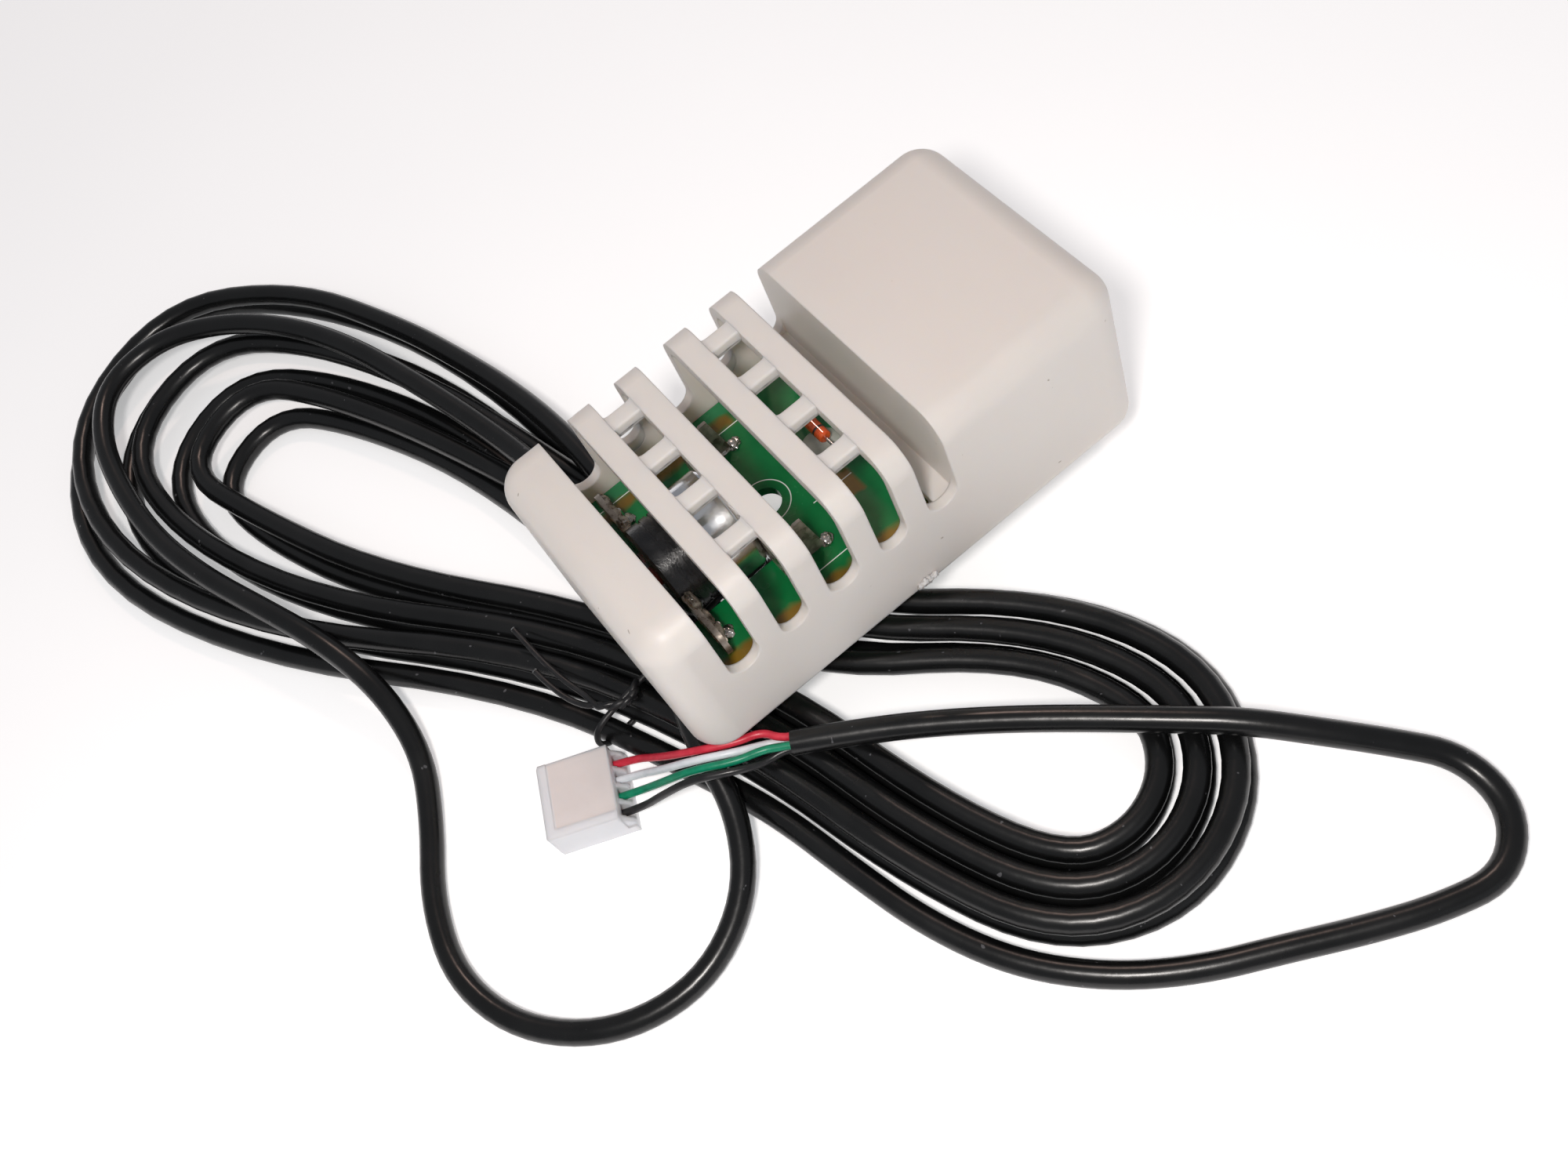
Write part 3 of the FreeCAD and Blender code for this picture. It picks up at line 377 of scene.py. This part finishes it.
MATERIALS = {
    "cover": cover_material(),
    "board": board_material(),
    "bead_glass": bead_material(),
    "connector": connector_material(),
    "jacket": cable_material(),
    "black_moulding": finish(
        "black_resin", (0.004, 0.004, 0.005), (0.014, 0.014, 0.015),
        patch=500.0, roughness=(0.18, 0.32), grain=2600.0, depth=0.00007,
    ),
    "cap": finish(
        "bright_cap", (0.72, 0.73, 0.76), (0.93, 0.94, 0.96),
        patch=260.0, roughness=(0.06, 0.26), grain=900.0, depth=0.00004, Metallic=1.0,
    ),
    "ceramic": finish(
        "ceramic", (0.72, 0.7, 0.64), (0.82, 0.8, 0.75),
        patch=300.0, roughness=(0.4, 0.55), grain=1500.0, depth=0.00002,
    ),
    "bimetal": finish(
        "bimetal", (0.36, 0.33, 0.28), (0.55, 0.51, 0.44),
        patch=200.0, roughness=(0.25, 0.4), grain=1200.0, depth=0.00002, Metallic=1.0,
    ),
    "contact_brass": finish(
        "contact_brass", (0.5, 0.33, 0.12), (0.72, 0.52, 0.24),
        patch=300.0, roughness=(0.22, 0.38), grain=1400.0, depth=0.00002, Metallic=1.0,
    ),
    "button": finish(
        "button_red", (0.2, 0.014, 0.01), (0.3, 0.03, 0.02),
        patch=300.0, roughness=(0.3, 0.42), grain=1600.0, depth=0.00002,
    ),
    "tinned_sheet": finish(
        "tinned_sheet", (0.2, 0.155, 0.12), (0.52, 0.46, 0.4),
        patch=620.0, roughness=(0.2, 0.44), grain=1300.0, depth=0.0001, Metallic=0.5,
    ),
    "tarnished_tin": finish(
        "tarnished_tin", (0.07, 0.05, 0.035), (0.5, 0.44, 0.37),
        patch=900.0, roughness=(0.16, 0.4), grain=1500.0, depth=0.00012, Metallic=0.85,
    ),
    "tinned_wire": finish(
        "tinned_wire", (0.5, 0.5, 0.5), (0.76, 0.76, 0.76),
        patch=800.0, roughness=(0.16, 0.34), grain=2200.0, depth=0.00003, Metallic=1.0,
    ),
    "solder": finish(
        "solder_tin", (0.42, 0.41, 0.39), (0.68, 0.68, 0.68),
        patch=700.0, roughness=(0.14, 0.34), grain=1500.0, depth=0.0001, Metallic=1.0,
    ),
    "silicone": finish(
        "silicone", (0.62, 0.65, 0.58), (0.8, 0.82, 0.75),
        patch=420.0, roughness=(0.08, 0.2), grain=600.0, depth=0.00012,
        Transmission_Weight=0.35, IOR=1.42,
    ),
    "tie": finish(
        "tie_plastic", (0.006, 0.006, 0.007), (0.016, 0.016, 0.017),
        patch=700.0, roughness=(0.3, 0.5), grain=1800.0, depth=0.00006,
    ),
}
for core, (dark, light, roughness) in CORES.items():
    MATERIALS[f"core_{core}"] = finish(
        f"core_{core}", dark, light, patch=900.0, roughness=roughness, grain=2400.0, depth=0.00003
    )


def dress_cad():
    """Each CAD node that stays gets the material of its record slot."""
    for part in frame["record"]["subparts"]:
        node = frame["nodes"][part["node"]]
        node.data.materials.clear()
        node.data.materials.append(MATERIALS[part["material_slot"]])


# ---- Kinds of pieces ----

def add_piece(name, data, slot, body=BODY, look=None):
    """It rides on a body, and wears its slot's material or another look."""
    piece = bpy.data.objects.new(name, data)
    bpy.context.scene.collection.objects.link(piece)
    data.materials.append(MATERIALS[look or slot])
    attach(piece, body)
    return piece


def smooth(piece, angle):
    """Smooth shading, but for edges sharper than an angle in degrees."""
    piece.data.polygons.foreach_set("use_smooth", [True] * len(piece.data.polygons))
    modifier = piece.modifiers.new("edges", "EDGE_SPLIT")
    modifier.split_angle = math.radians(angle)


def add_line(name, points, radius, slot, resolution=8, sides=5):
    """A smooth wire or cable: one open spline with the route's points as its control points."""
    curve = bpy.data.curves.new(name, "CURVE")
    curve.dimensions = "3D"
    curve.bevel_depth = radius * MM
    curve.bevel_resolution = sides
    curve.use_fill_caps = True
    curve.resolution_u = resolution
    spline = curve.splines.new("NURBS")
    spline.points.add(len(points) - 1)
    for point, place in zip(spline.points, points):
        point.co = (*placed(*place), 1.0)
    spline.order_u = 3
    spline.use_endpoint_u = True
    spline.use_smooth = True
    return add_piece(name, curve, slot)


def add_loft(name, rings, slot, body=BODY):
    """A closed skin through rings of the same number of places, capped at both ends."""
    mesh = bpy.data.meshes.new(name)
    count = len(rings[0])
    last = (len(rings) - 1) * count
    faces = [tuple(range(count))[::-1], tuple(range(last, last + count))]
    for start in range(0, last, count):
        for k in range(count):
            a, b = start + k, start + (k + 1) % count
            faces.append((a, b, b + count, a + count))
    mesh.from_pydata([placed(*place) for ring in rings for place in ring], [], faces)
    piece = add_piece(name, mesh, slot, body)
    smooth(piece, 40)
    return piece


def add_blob(name, place, size, slot, swell, grain, seed, look=None):
    """A lump of metal or plastic: a ball pressed to a size and made uneven."""
    mesh = bpy.data.meshes.new(name)
    shape = bmesh.new()
    bmesh.ops.create_icosphere(shape, subdivisions=4, radius=1.0)
    middle = placed(*place)
    size = Vector(size) * MM
    for vertex in shape.verts:
        direction = vertex.co.copy()
        lumps = noise.noise(direction * grain + Vector((seed, 0, 0)))
        dents = noise.noise(direction * grain * 3.1)
        vertex.co = middle + direction * (1 + swell * (lumps + 0.4 * dents)) * size
    shape.to_mesh(mesh)
    shape.free()
    smooth(add_piece(name, mesh, slot, look=look), 80)


# ---- The cable: its hank is a pinched ring of turns laid in two layers. ----

HANK_ORIGIN = (-32.9, 0.5)
HANK_ANGLE = math.radians(-67.55)
PLACES_PER_TURN = 8
TOP_TURNS = 3
BOTTOM_TURNS = 3.375
WAIST_PLACE = (6.0, 4.0)
WAIST_HALF = 1.6
WAIST_STEP = 4.4
TOP_WAIST_SHIFT = 2.0
LEFT_ACROSS = 4.0
LEFT_TIP_ACROSS = 3.0
LEFT_TIP_ACROSS_STEP = 1.75
LEFT_AHEAD = 23.0
LEFT_AHEAD_STEP = 5.0
LEFT_HALF = {"top": 4.9, "bottom": 11.3}
LEFT_STEP = {"top": 8.0, "bottom": 5.95}
LEFT_TIP = {"top": 86.0, "bottom": 91.0}
LEFT_TIP_STEP = {"top": 14.0, "bottom": 12.0}
RIGHT_PLACE = {"top": (58.0, 8.5), "bottom": (57.0, 8.0)}
RIGHT_TIP_ACROSS = 8.0
RIGHT_HALF = 9.6
RIGHT_STEP = 4.4
RIGHT_TIP = {"top": 67.0, "bottom": 65.5}
RIGHT_TIP_STEP = {"top": 4.6, "bottom": 5.0}
HANK_START_RUN = 13.0
HANK_END_RUN = 8.5


def along_hank(s, v, z):
    """A place s along the hank's length and v across it."""
    ux, uy = math.cos(HANK_ANGLE), math.sin(HANK_ANGLE)
    return Vector((HANK_ORIGIN[0] + s * ux - v * uy, HANK_ORIGIN[1] + s * uy + v * ux, z))


def hank_nodes():
    """Eight places to a turn, with the cable's direction at each."""
    nodes = []
    last = round(PLACES_PER_TURN * (TOP_TURNS + BOTTOM_TURNS))
    for index in range(last + 1):
        turn = index / PLACES_PER_TURN
        layer = "top" if turn < TOP_TURNS else "bottom"
        height = TOP_LEVEL if layer == "top" else FLOOR_LEVEL
        out = abs(TOP_TURNS - turn)
        shift = TOP_WAIST_SHIFT if turn < TOP_TURNS - 0.5 else 0.0
        waist = WAIST_HALF + WAIST_STEP * out
        left = LEFT_HALF[layer] + LEFT_STEP[layer] * out
        tip = LEFT_TIP[layer] + LEFT_TIP_STEP[layer] * out
        widest = LEFT_AHEAD + LEFT_AHEAD_STEP * out - tip
        right = RIGHT_HALF + RIGHT_STEP * out
        right_s, right_v = RIGHT_PLACE[layer]
        stations = [
            (widest, LEFT_ACROSS + left, 180),
            (-tip, LEFT_TIP_ACROSS + LEFT_TIP_ACROSS_STEP * out, 270),
            (widest, LEFT_ACROSS - left, 0),
            (WAIST_PLACE[0], WAIST_PLACE[1] + shift - waist, 0),
            (right_s, right_v - right, 0),
            (RIGHT_TIP[layer] + RIGHT_TIP_STEP[layer] * out, RIGHT_TIP_ACROSS, 90),
            (right_s, right_v + right, 180),
            (WAIST_PLACE[0], WAIST_PLACE[1] + shift + waist, 180),
        ]
        s, v, degrees = stations[index % PLACES_PER_TURN]
        angle = HANK_ANGLE + math.radians(degrees)
        nodes.append((along_hank(s, v, height), Vector((math.cos(angle), math.sin(angle), 0))))
    return nodes


def hank_points():
    """Two control points between neighbouring places: where their straight directions lead."""
    points = []
    nodes = hank_nodes()
    for (place, heading), (next_place, next_heading) in zip(nodes, nodes[1:]):
        chord = next_place - place
        both = heading + next_heading
        spread = 2 * (1 - heading.dot(next_heading))
        if spread < 1e-6:
            reach = chord.dot(chord) / (4 * chord.dot(heading))
        else:
            root = math.sqrt(chord.dot(both) ** 2 + spread * chord.dot(chord))
            reach = (root - chord.dot(both)) / spread
        points.append(place + heading * reach)
        points.append(next_place - next_heading * reach)
    return points


def lead_points():
    """From the cover round the hank's left lobe, into the loose loop, and under the cover."""
    start, heading = hank_nodes()[0]
    return [
        (-29.5, 14.5, 2.0),
        (-29.5, 27.0, 2.0),
        (-30.3, 40.0, -1.3),
        (-32.8, 54.5, THIRD_LEVEL),
        (-36.2, 69.0, THIRD_LEVEL),
        (-40.2, 83.5, THIRD_LEVEL),
        (-46.0, 96.5, THIRD_LEVEL),
        (-54.5, 107.5, THIRD_LEVEL),
        (-65.5, 114.5, THIRD_LEVEL),
        (-77.0, 113.0, THIRD_LEVEL),
        (-82.8, 103.6, THIRD_LEVEL),
        (-84.4, 91.0, THIRD_LEVEL),
        (-84.0, 77.4, THIRD_LEVEL),
        (-80.8, 64.0, THIRD_LEVEL),
        (-75.8, 51.0, THIRD_LEVEL),
        (-71.2, 38.8, -2.4),
        (-68.4, 27.0, -4.8),
        (-69.2, 15.8, -8.4),
        (-73.8, 6.0, FLOOR_LEVEL),
        (-79.8, -4.2, FLOOR_LEVEL),
        (-82.6, -16.0, FLOOR_LEVEL),
        (-78.8, -28.0, FLOOR_LEVEL),
        (-69.0, -36.8, FLOOR_LEVEL),
        (-56.2, -39.2, FLOOR_LEVEL),
        (-45.2, -34.0, -8.6),
        (-39.1, -24.6, -6.2),
        (-37.8, -15.2, -2.62),
        (-34.3, -5.0, THIRD_LEVEL),
        (-29.6, 6.5, THIRD_LEVEL),
        (-25.0, 19.0, THIRD_LEVEL),
        (-23.6, 32.0, THIRD_LEVEL - 0.3),
        (-23.8, 45.0, -3.4),
        (-25.4, 58.0, -4.8),
        (-28.0, 70.0, -5.7),
        start - heading * HANK_START_RUN,
    ]


def tail_points():
    """From the hank's last turn, out and back in a long fold, to the jacket's end."""
    end, heading = hank_nodes()[-1]
    return [
        end + heading * HANK_END_RUN,
        (-35.2, -28.2, FLOOR_LEVEL),
        (-32.7, -40.2, FLOOR_LEVEL),
        (-29.8, -52.2, FLOOR_LEVEL),
        (-24.9, -63.2, FLOOR_LEVEL),
        (-17.6, -71.8, FLOOR_LEVEL),
        (-9.0, -78.2, FLOOR_LEVEL),
        (0.6, -83.0, FLOOR_LEVEL),
        (8.6, -87.2, FLOOR_LEVEL),
        (16.6, -90.8, FLOOR_LEVEL),
        (24.8, -93.0, FLOOR_LEVEL),
        (31.4, -87.9, FLOOR_LEVEL),
        (31.8, -79.7, -8.6),
        (26.4, -73.5, -6.2),
        (20.7, -67.7, -3.6),
        (15.0, -61.3, THIRD_LEVEL),
        (8.6, -54.9, THIRD_LEVEL),
        (2.2, -48.6, THIRD_LEVEL),
        (-4.6, -42.2, THIRD_LEVEL),
        (-11.8, -36.0, THIRD_LEVEL),
        (-19.4, -30.2, THIRD_LEVEL),
        (-28.1, -24.4, THIRD_LEVEL),
    ]


# The cores. At each end of the cable they lie two by two in the jacket.
CORE_PITCH = 1.24
CORE_FAN = 1.32
CORE_HEIGHT = 2.7
CORE_BITE = 1.5
CORE_RUN = 2.8
UNDER_COVER = -0.72
INNER_SHIFT = 2.2
UPPER_PAD, LOWER_PAD = 6.4, 9.2
UPPER_KNEE, LOWER_KNEE = 2.1, 3.0
PAD_RUN = 3.1


def core_in_jacket(index):
    sideways = -CORE_PITCH / 2 if index < 2 else CORE_PITCH / 2
    up = -CORE_PITCH / 2 if index % 2 == 0 else CORE_PITCH / 2
    return sideways, up


def core_points(index):
    """From the cable's end, under the cover's corner and into the connector."""
    k = index - 1.5
    mate = Vector((math.cos(CONNECTOR_ANGLE), math.sin(CONNECTOR_ANGLE), 0))
    across = Vector((math.sin(CONNECTOR_ANGLE), -math.cos(CONNECTOR_ANGLE), 0))
    before, end = (Vector(point) for point in tail_points()[-2:])
    heading = (end - before).normalized()
    side = Vector((heading.y, -heading.x, 0))
    sideways, up = core_in_jacket(index)
    lift = Vector((0, 0, up))
    begin = end + side * sideways + lift
    fan = side * (CORE_FAN * k)
    middle = Vector((*CONNECTOR_CENTRE, FLOOR + CORE_HEIGHT))
    entry = middle - mate * (CONNECTOR_LENGTH / 2) + across * (CONNECTOR_PITCH * k)
    return [
        begin,
        begin + heading * 1.4,
        end + heading * 4.0 + fan + lift,
        Vector((-35.0, -21.4, UNDER_COVER)) + fan,
        Vector((-40.2, -18.2, UNDER_COVER)) + fan,
        Vector((-44.2, -14.4, -4.6)) + fan * 1.4,
        entry - mate * CORE_RUN,
        entry + mate * CORE_BITE,
    ]


def inner_core_points(index):
    """From the cable's end inside the cover up to the back of the board."""
    start = Vector(lead_points()[0])
    sideways, up = core_in_jacket(index)
    column = start.x - INNER_SHIFT + math.copysign(CONNECTOR_PITCH / 2, sideways)
    pad_y = start.y - (UPPER_PAD if up > 0 else LOWER_PAD)
    knee_y = pad_y + (UPPER_KNEE if up > 0 else LOWER_KNEE)
    return [
        start + Vector((sideways, 0, up)),
        (start.x + sideways, knee_y, start.z + up),
        (column, pad_y, BOARD_BOTTOM - PAD_RUN),
        (column, pad_y, BOARD_BOTTOM),
    ]


def make_cable():
    points = lead_points() + hank_points() + tail_points()
    cable = add_line("cable", points, CABLE_DIAMETER / 2, "jacket", resolution=6, sides=6)
    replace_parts(cable, "cable_lead", "cable_hank", "cable_tail")
    radius = CORE_DIAMETER / 2
    for index, colour in enumerate(CORES):
        slot = f"core_{colour}"
        points = core_points(index)
        outer = add_line(f"core_{colour}_outer", points, radius, slot)
        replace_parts(outer, f"core_{colour}")
        inner = add_line(f"core_{colour}_inner", inner_core_points(index), radius, slot)
        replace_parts(inner, f"inner_core_{colour}")


# The tie: places along and across the hank, and heights.
TIE_RADIUS = 0.5
TIE_DRAWN_RADIUS = TIE_RADIUS * 0.9
TIE_TWISTS = 2.5
TIE_STEPS = 26
TIE_NEAR = (-3.5, -15.2)
TIE_FAR = (5.6, 21.2)
TIE_LOW = FLOOR + TIE_RADIUS
TIE_HIGH = THIRD_LEVEL - CABLE_DIAMETER / 2 - TIE_RADIUS - 0.1
TIE_KNOT = (-1.3, -6.4, TIE_HIGH + 0.6)
TIE_LEAN = (1.9, -9.2, -3.3)
TIE_FORK = (-3.8, -11.4, -3.2)
TIE_SPLAYS = {
    "upper": [(-6.2, -10.9, -3.0), (-10.6, -10.4, -2.8), (-16.1, -9.0, -2.6), (-22.1, -6.9, -2.4)],
    "lower": [(-5.8, -12.4, -3.3), (-10.6, -12.4, -3.1), (-15.4, -11.0, -2.8)],
}
TIE_TIP_SIZE = (0.42, 0.42, 0.36)


def bent(a, b, c, t):
    """A place along the soft bend from a to c that leans towards b."""
    return a * (1 - t) ** 2 + b * (2 * t * (1 - t)) + c * t ** 2


def make_tie():
    """A wire round the waist, its two ends twisted together and splayed beside it."""
    near, far = along_hank(*TIE_NEAR, 0), along_hank(*TIE_FAR, 0)
    across = (far - near).normalized()
    width = (far - near).length
    section = [
        (width / 2, TIE_LOW),
        (width - 1.6, TIE_LOW),
        (width, TIE_LOW + 1.8),
        (width - 0.6, TIE_HIGH - 0.8),
        (width - 3.0, TIE_HIGH),
        (width / 2, TIE_HIGH),
        (4.6, TIE_HIGH),
        (1.0, TIE_HIGH - 0.8),
        (0.0, TIE_HIGH - 3.0),
        (0.2, TIE_LOW + 1.6),
        (2.0, TIE_LOW),
        (width / 2, TIE_LOW),
    ]
    points = [near + across * u + Vector((0, 0, z)) for u, z in section]
    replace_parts(add_line("tie_ring", points, TIE_DRAWN_RADIUS, "tie"), "twist_tie")
    bend = [along_hank(*place) for place in (TIE_KNOT, TIE_LEAN, TIE_FORK)]
    for side, (name, splay) in enumerate(TIE_SPLAYS.items()):
        points = []
        for step in range(TIE_STEPS + 1):
            t = step / TIE_STEPS
            angle = math.pi * side + t * TIE_TWISTS * 2 * math.pi
            reach = TIE_RADIUS * 0.95 * (1 - 0.3 * t)
            aside = across * (reach * math.cos(angle)) + Vector((0, 0, reach * math.sin(angle)))
            points.append(bent(*bend, t) + aside)
        points += [along_hank(*place) for place in splay]
        add_line(f"tie_end_{name}", points, TIE_DRAWN_RADIUS, "tie", resolution=4)
        tip = points[-1]
        add_blob(f"tie_tip_{name}", tip, TIE_TIP_SIZE, "solder", swell=0.3, grain=1.5, seed=side)


# ---- What the cover and the cut-out carry ----

# Lumps at the bracket's feet, on the terminals and round their pins, as on the far side:
# name, place, size, slot and look, swell, grain and seed.
SOLDER = ("solder", None)
TIN = ("tinned_sheet", "tarnished_tin")
SOLDER_LUMPS = (
    ("foot_solder_{}", (-8.1, 10.7, 9.5), (1.05, 0.9, 0.65), SOLDER, 0.35, 1.4, 0),
    ("foot_fillet_{}", (-9.9, 10.5, 9.4), (1.2, 0.45, 0.42), SOLDER, 0.3, 1.6, 3),
    ("pin_solder_{}", (-25.8, 12.0, 9.35), (1.1, 1.1, 0.5), SOLDER, 0.3, 1.5, 6),
    ("terminal_tin_{}_0", (-26.9, 8.0, 14.2), (0.8, 2.0, 0.42), TIN, 0.3, 1.2, 9),
    ("terminal_tin_{}_1", (-26.9, 10.7, 13.7), (0.8, 2.0, 0.42), TIN, 0.3, 1.2, 10),
    ("terminal_tin_{}_2", (-26.9, 13.4, 13.2), (0.8, 2.0, 0.42), TIN, 0.3, 1.2, 11),
    ("terminal_drop_{}", (-26.7, 8.2, 14.0), (0.6, 0.7, 0.6), SOLDER, 0.4, 1.6, 20),
)
# Lumps that the mould's gate left on the near rim: place and size.
GATE_BURR = (
    ((-1.9, -20.25, 0.9), (0.55, 0.4, 0.4)),
    ((-1.15, -20.4, 1.15), (0.55, 0.4, 0.5)),
    ((-0.4, -20.25, 0.9), (0.55, 0.4, 0.6)),
    ((0.35, -20.4, 1.15), (0.55, 0.4, 0.4)),
)
PIN_START = -22.4
PIN_END = -17.15
PIN_RADIUS = 0.8
PIN_HEIGHT = 12.0
PIN_DOME = 0.35
PIN_SIDES = 24
# The two ladders of windows: where each starts along x, and its rungs.
LADDERS = (-20.8, -4.7)
LADDER_GAP = 4.3
RUNG_PLACES = (-12.675, -4.225, 4.225, 12.675)
RUNG_FOOT = 25.2
RUNG_CREST = 26.75
RUNG_HALF = 1.3
RUNG_ROUND = 0.3
RUNG_FLARE = 0.22
RUNG_RISE = RIB_TOP - RUNG_CREST - 0.04
RUNG_OVERLAP = 0.1
RUNG_STEPS = 16
SILL_FIT = 0.03
SILL_LOW = 14.4
SILL_HIGH = 16.4
SILL_FACES = (18.3, 19.7)


def make_solder():
    for side, label in ((1, "far"), (-1, "near")):
        for name, (x, y, z), size, (slot, look), swell, grain, seed in SOLDER_LUMPS:
            place = (x, side * y, z)
            add_blob(name.format(label), place, size, slot, swell, grain, seed + side, look)


def make_burr():
    for k, (place, size) in enumerate(GATE_BURR):
        add_blob(f"gate_burr_{k}", place, size, "cover", swell=0.6, grain=1.8, seed=30 + k)


def make_pin():
    """The ceramic pin with domed ends, which roll on the blade as it swings."""
    stations = []
    for degrees in (12, 30, 50, 70, 90):
        a = math.radians(degrees)
        stations.append((PIN_START + PIN_DOME * (1 - math.cos(a)), PIN_RADIUS * math.sin(a)))
    stations += [(PIN_START + PIN_END - x, radius) for x, radius in reversed(stations)]
    around = [2 * math.pi * k / PIN_SIDES for k in range(PIN_SIDES)]
    rings = [
        [(x, radius * math.cos(a), PIN_HEIGHT + radius * math.sin(a)) for a in around]
        for x, radius in stations
    ]
    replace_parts(add_loft("rounded_pin", rings, "ceramic", "pin"), "transfer_pin")


def rung_section(reach):
    """Half a rung's outline and its mirror; reach is 0 at mid-rung and 1 at the ribs."""
    half = RUNG_HALF + RUNG_FLARE * reach ** 9
    crest = RUNG_CREST + RUNG_RISE * reach ** 7
    section = [(-half, RUNG_FOOT), (-half, crest - RUNG_ROUND)]
    for k in range(1, 4):
        angle = math.pi / 2 * k / 4
        inwards, down = RUNG_ROUND * (1 - math.cos(angle)), RUNG_ROUND * (1 - math.sin(angle))
        section.append((inwards - half, crest - down))
    section.append((RUNG_ROUND - half, crest))
    return section + [(-u, z) for u, z in reversed(section)]


def make_rungs():
    """A rounded crest on each rung, which flares where it meets the ribs."""
    length = LADDER_GAP + 2 * RUNG_OVERLAP
    for ladder, start in enumerate(LADDERS):
        for number, y in enumerate(RUNG_PLACES):
            rings = []
            for step in range(RUNG_STEPS + 1):
                t = step / RUNG_STEPS
                x = start - RUNG_OVERLAP + t * length
                rings.append([(x, y + u, z) for u, z in rung_section(abs(2 * t - 1))])
            add_loft(f"rung_crest_{ladder}_{number}", rings, "cover")


def make_sills():
    """The ladders' openings end a little higher in the far wall than the slots do."""
    radius = LADDER_GAP / 2 + SILL_FIT
    half_turn = [(math.cos(a), math.sin(a)) for a in (math.pi * (1 + k / 16) for k in range(17))]
    for ladder, start in enumerate(LADDERS):
        middle = start + LADDER_GAP / 2
        low = [(middle + radius * c, SILL_LOW + radius * s) for c, s in half_turn]
        high = [(middle + radius * c, SILL_HIGH + radius * s) for c, s in reversed(half_turn)]
        rings = [[(x, y, z) for x, z in low + high] for y in SILL_FACES]
        add_loft(f"vent_sill_{ladder}", rings, "cover")


# ---- Floor, lights and camera ----

def make_stage():
    half = 2.5
    z = placed(0, 0, FLOOR).z
    corners = [(-half, -half, z), (half, -half, z), (half, half, z), (-half, half, z)]
    mesh = bpy.data.meshes.new("floor")
    mesh.from_pydata(corners, [], [(0, 1, 2, 3)])
    mesh.materials.append(finish(
        "floor_paper", (0.87, 0.87, 0.88), (0.9, 0.9, 0.91),
        patch=6.0, roughness=(0.7, 0.8), grain=900.0, depth=0.00002,
        Emission_Color=(1.0, 1.0, 1.0, 1.0), Emission_Strength=0.4,
    ))
    floor = bpy.data.objects.new("floor", mesh)
    bpy.context.scene.collection.objects.link(floor)


def add_light(name, place, aim, size, power, colour):
    data = bpy.data.lights.new(name, "AREA")
    data.shape = "DISK"
    data.size = size
    data.energy = power
    data.color = colour
    light = bpy.data.objects.new(name, data)
    light.location = place
    light.rotation_euler = (Vector(aim) - Vector(place)).to_track_quat("-Z", "Y").to_euler()
    bpy.context.scene.collection.objects.link(light)


def make_lights():
    """A warm lamp behind the object, a small one near the camera, and a weak cool front."""
    add_light("lamp", (0.31, 0.5, 0.69), (0, 0, 0), 0.08, 0.85, (1.0, 0.72, 0.61))
    add_light("near", (-0.062, -0.125, 0.22), (-0.02, 0, 0), 0.035, 0.43, (1.0, 0.95, 0.91))
    add_light("front", (0.15, -0.8, 0.3), (0, 0, 0), 0.5, 0.12, (0.9, 0.95, 1.0))
    world = bpy.data.worlds.new("studio")
    world.use_nodes = True
    background = world.node_tree.nodes["Background"]
    background.inputs["Color"].default_value = (0.93, 0.95, 1.0, 1.0)
    background.inputs["Strength"].default_value = 0.3
    bpy.context.scene.world = world
    bpy.context.scene.view_settings.view_transform = "Standard"


def make_camera():
    """The photograph's camera, solved from the cover's edges in its 2000 by 1500 frame."""
    data = bpy.data.cameras.new("camera")
    data.sensor_width = 36.0
    data.lens = 37.19
    data.shift_x = 0.0057
    data.shift_y = 0.005
    data.clip_start = 0.01
    data.clip_end = 20.0
    camera = bpy.data.objects.new("camera", data)
    camera.location = placed(-37.66, -121.56, 186.36)
    camera.rotation_euler = [math.radians(angle) for angle in (28.35, 15.693, -36.8235)]
    bpy.context.scene.collection.objects.link(camera)
    bpy.context.scene.camera = camera


make_camera()
dress_cad()
make_cable()
make_tie()
make_solder()
make_burr()
make_pin()
make_rungs()
make_sills()
make_stage()
make_lights()
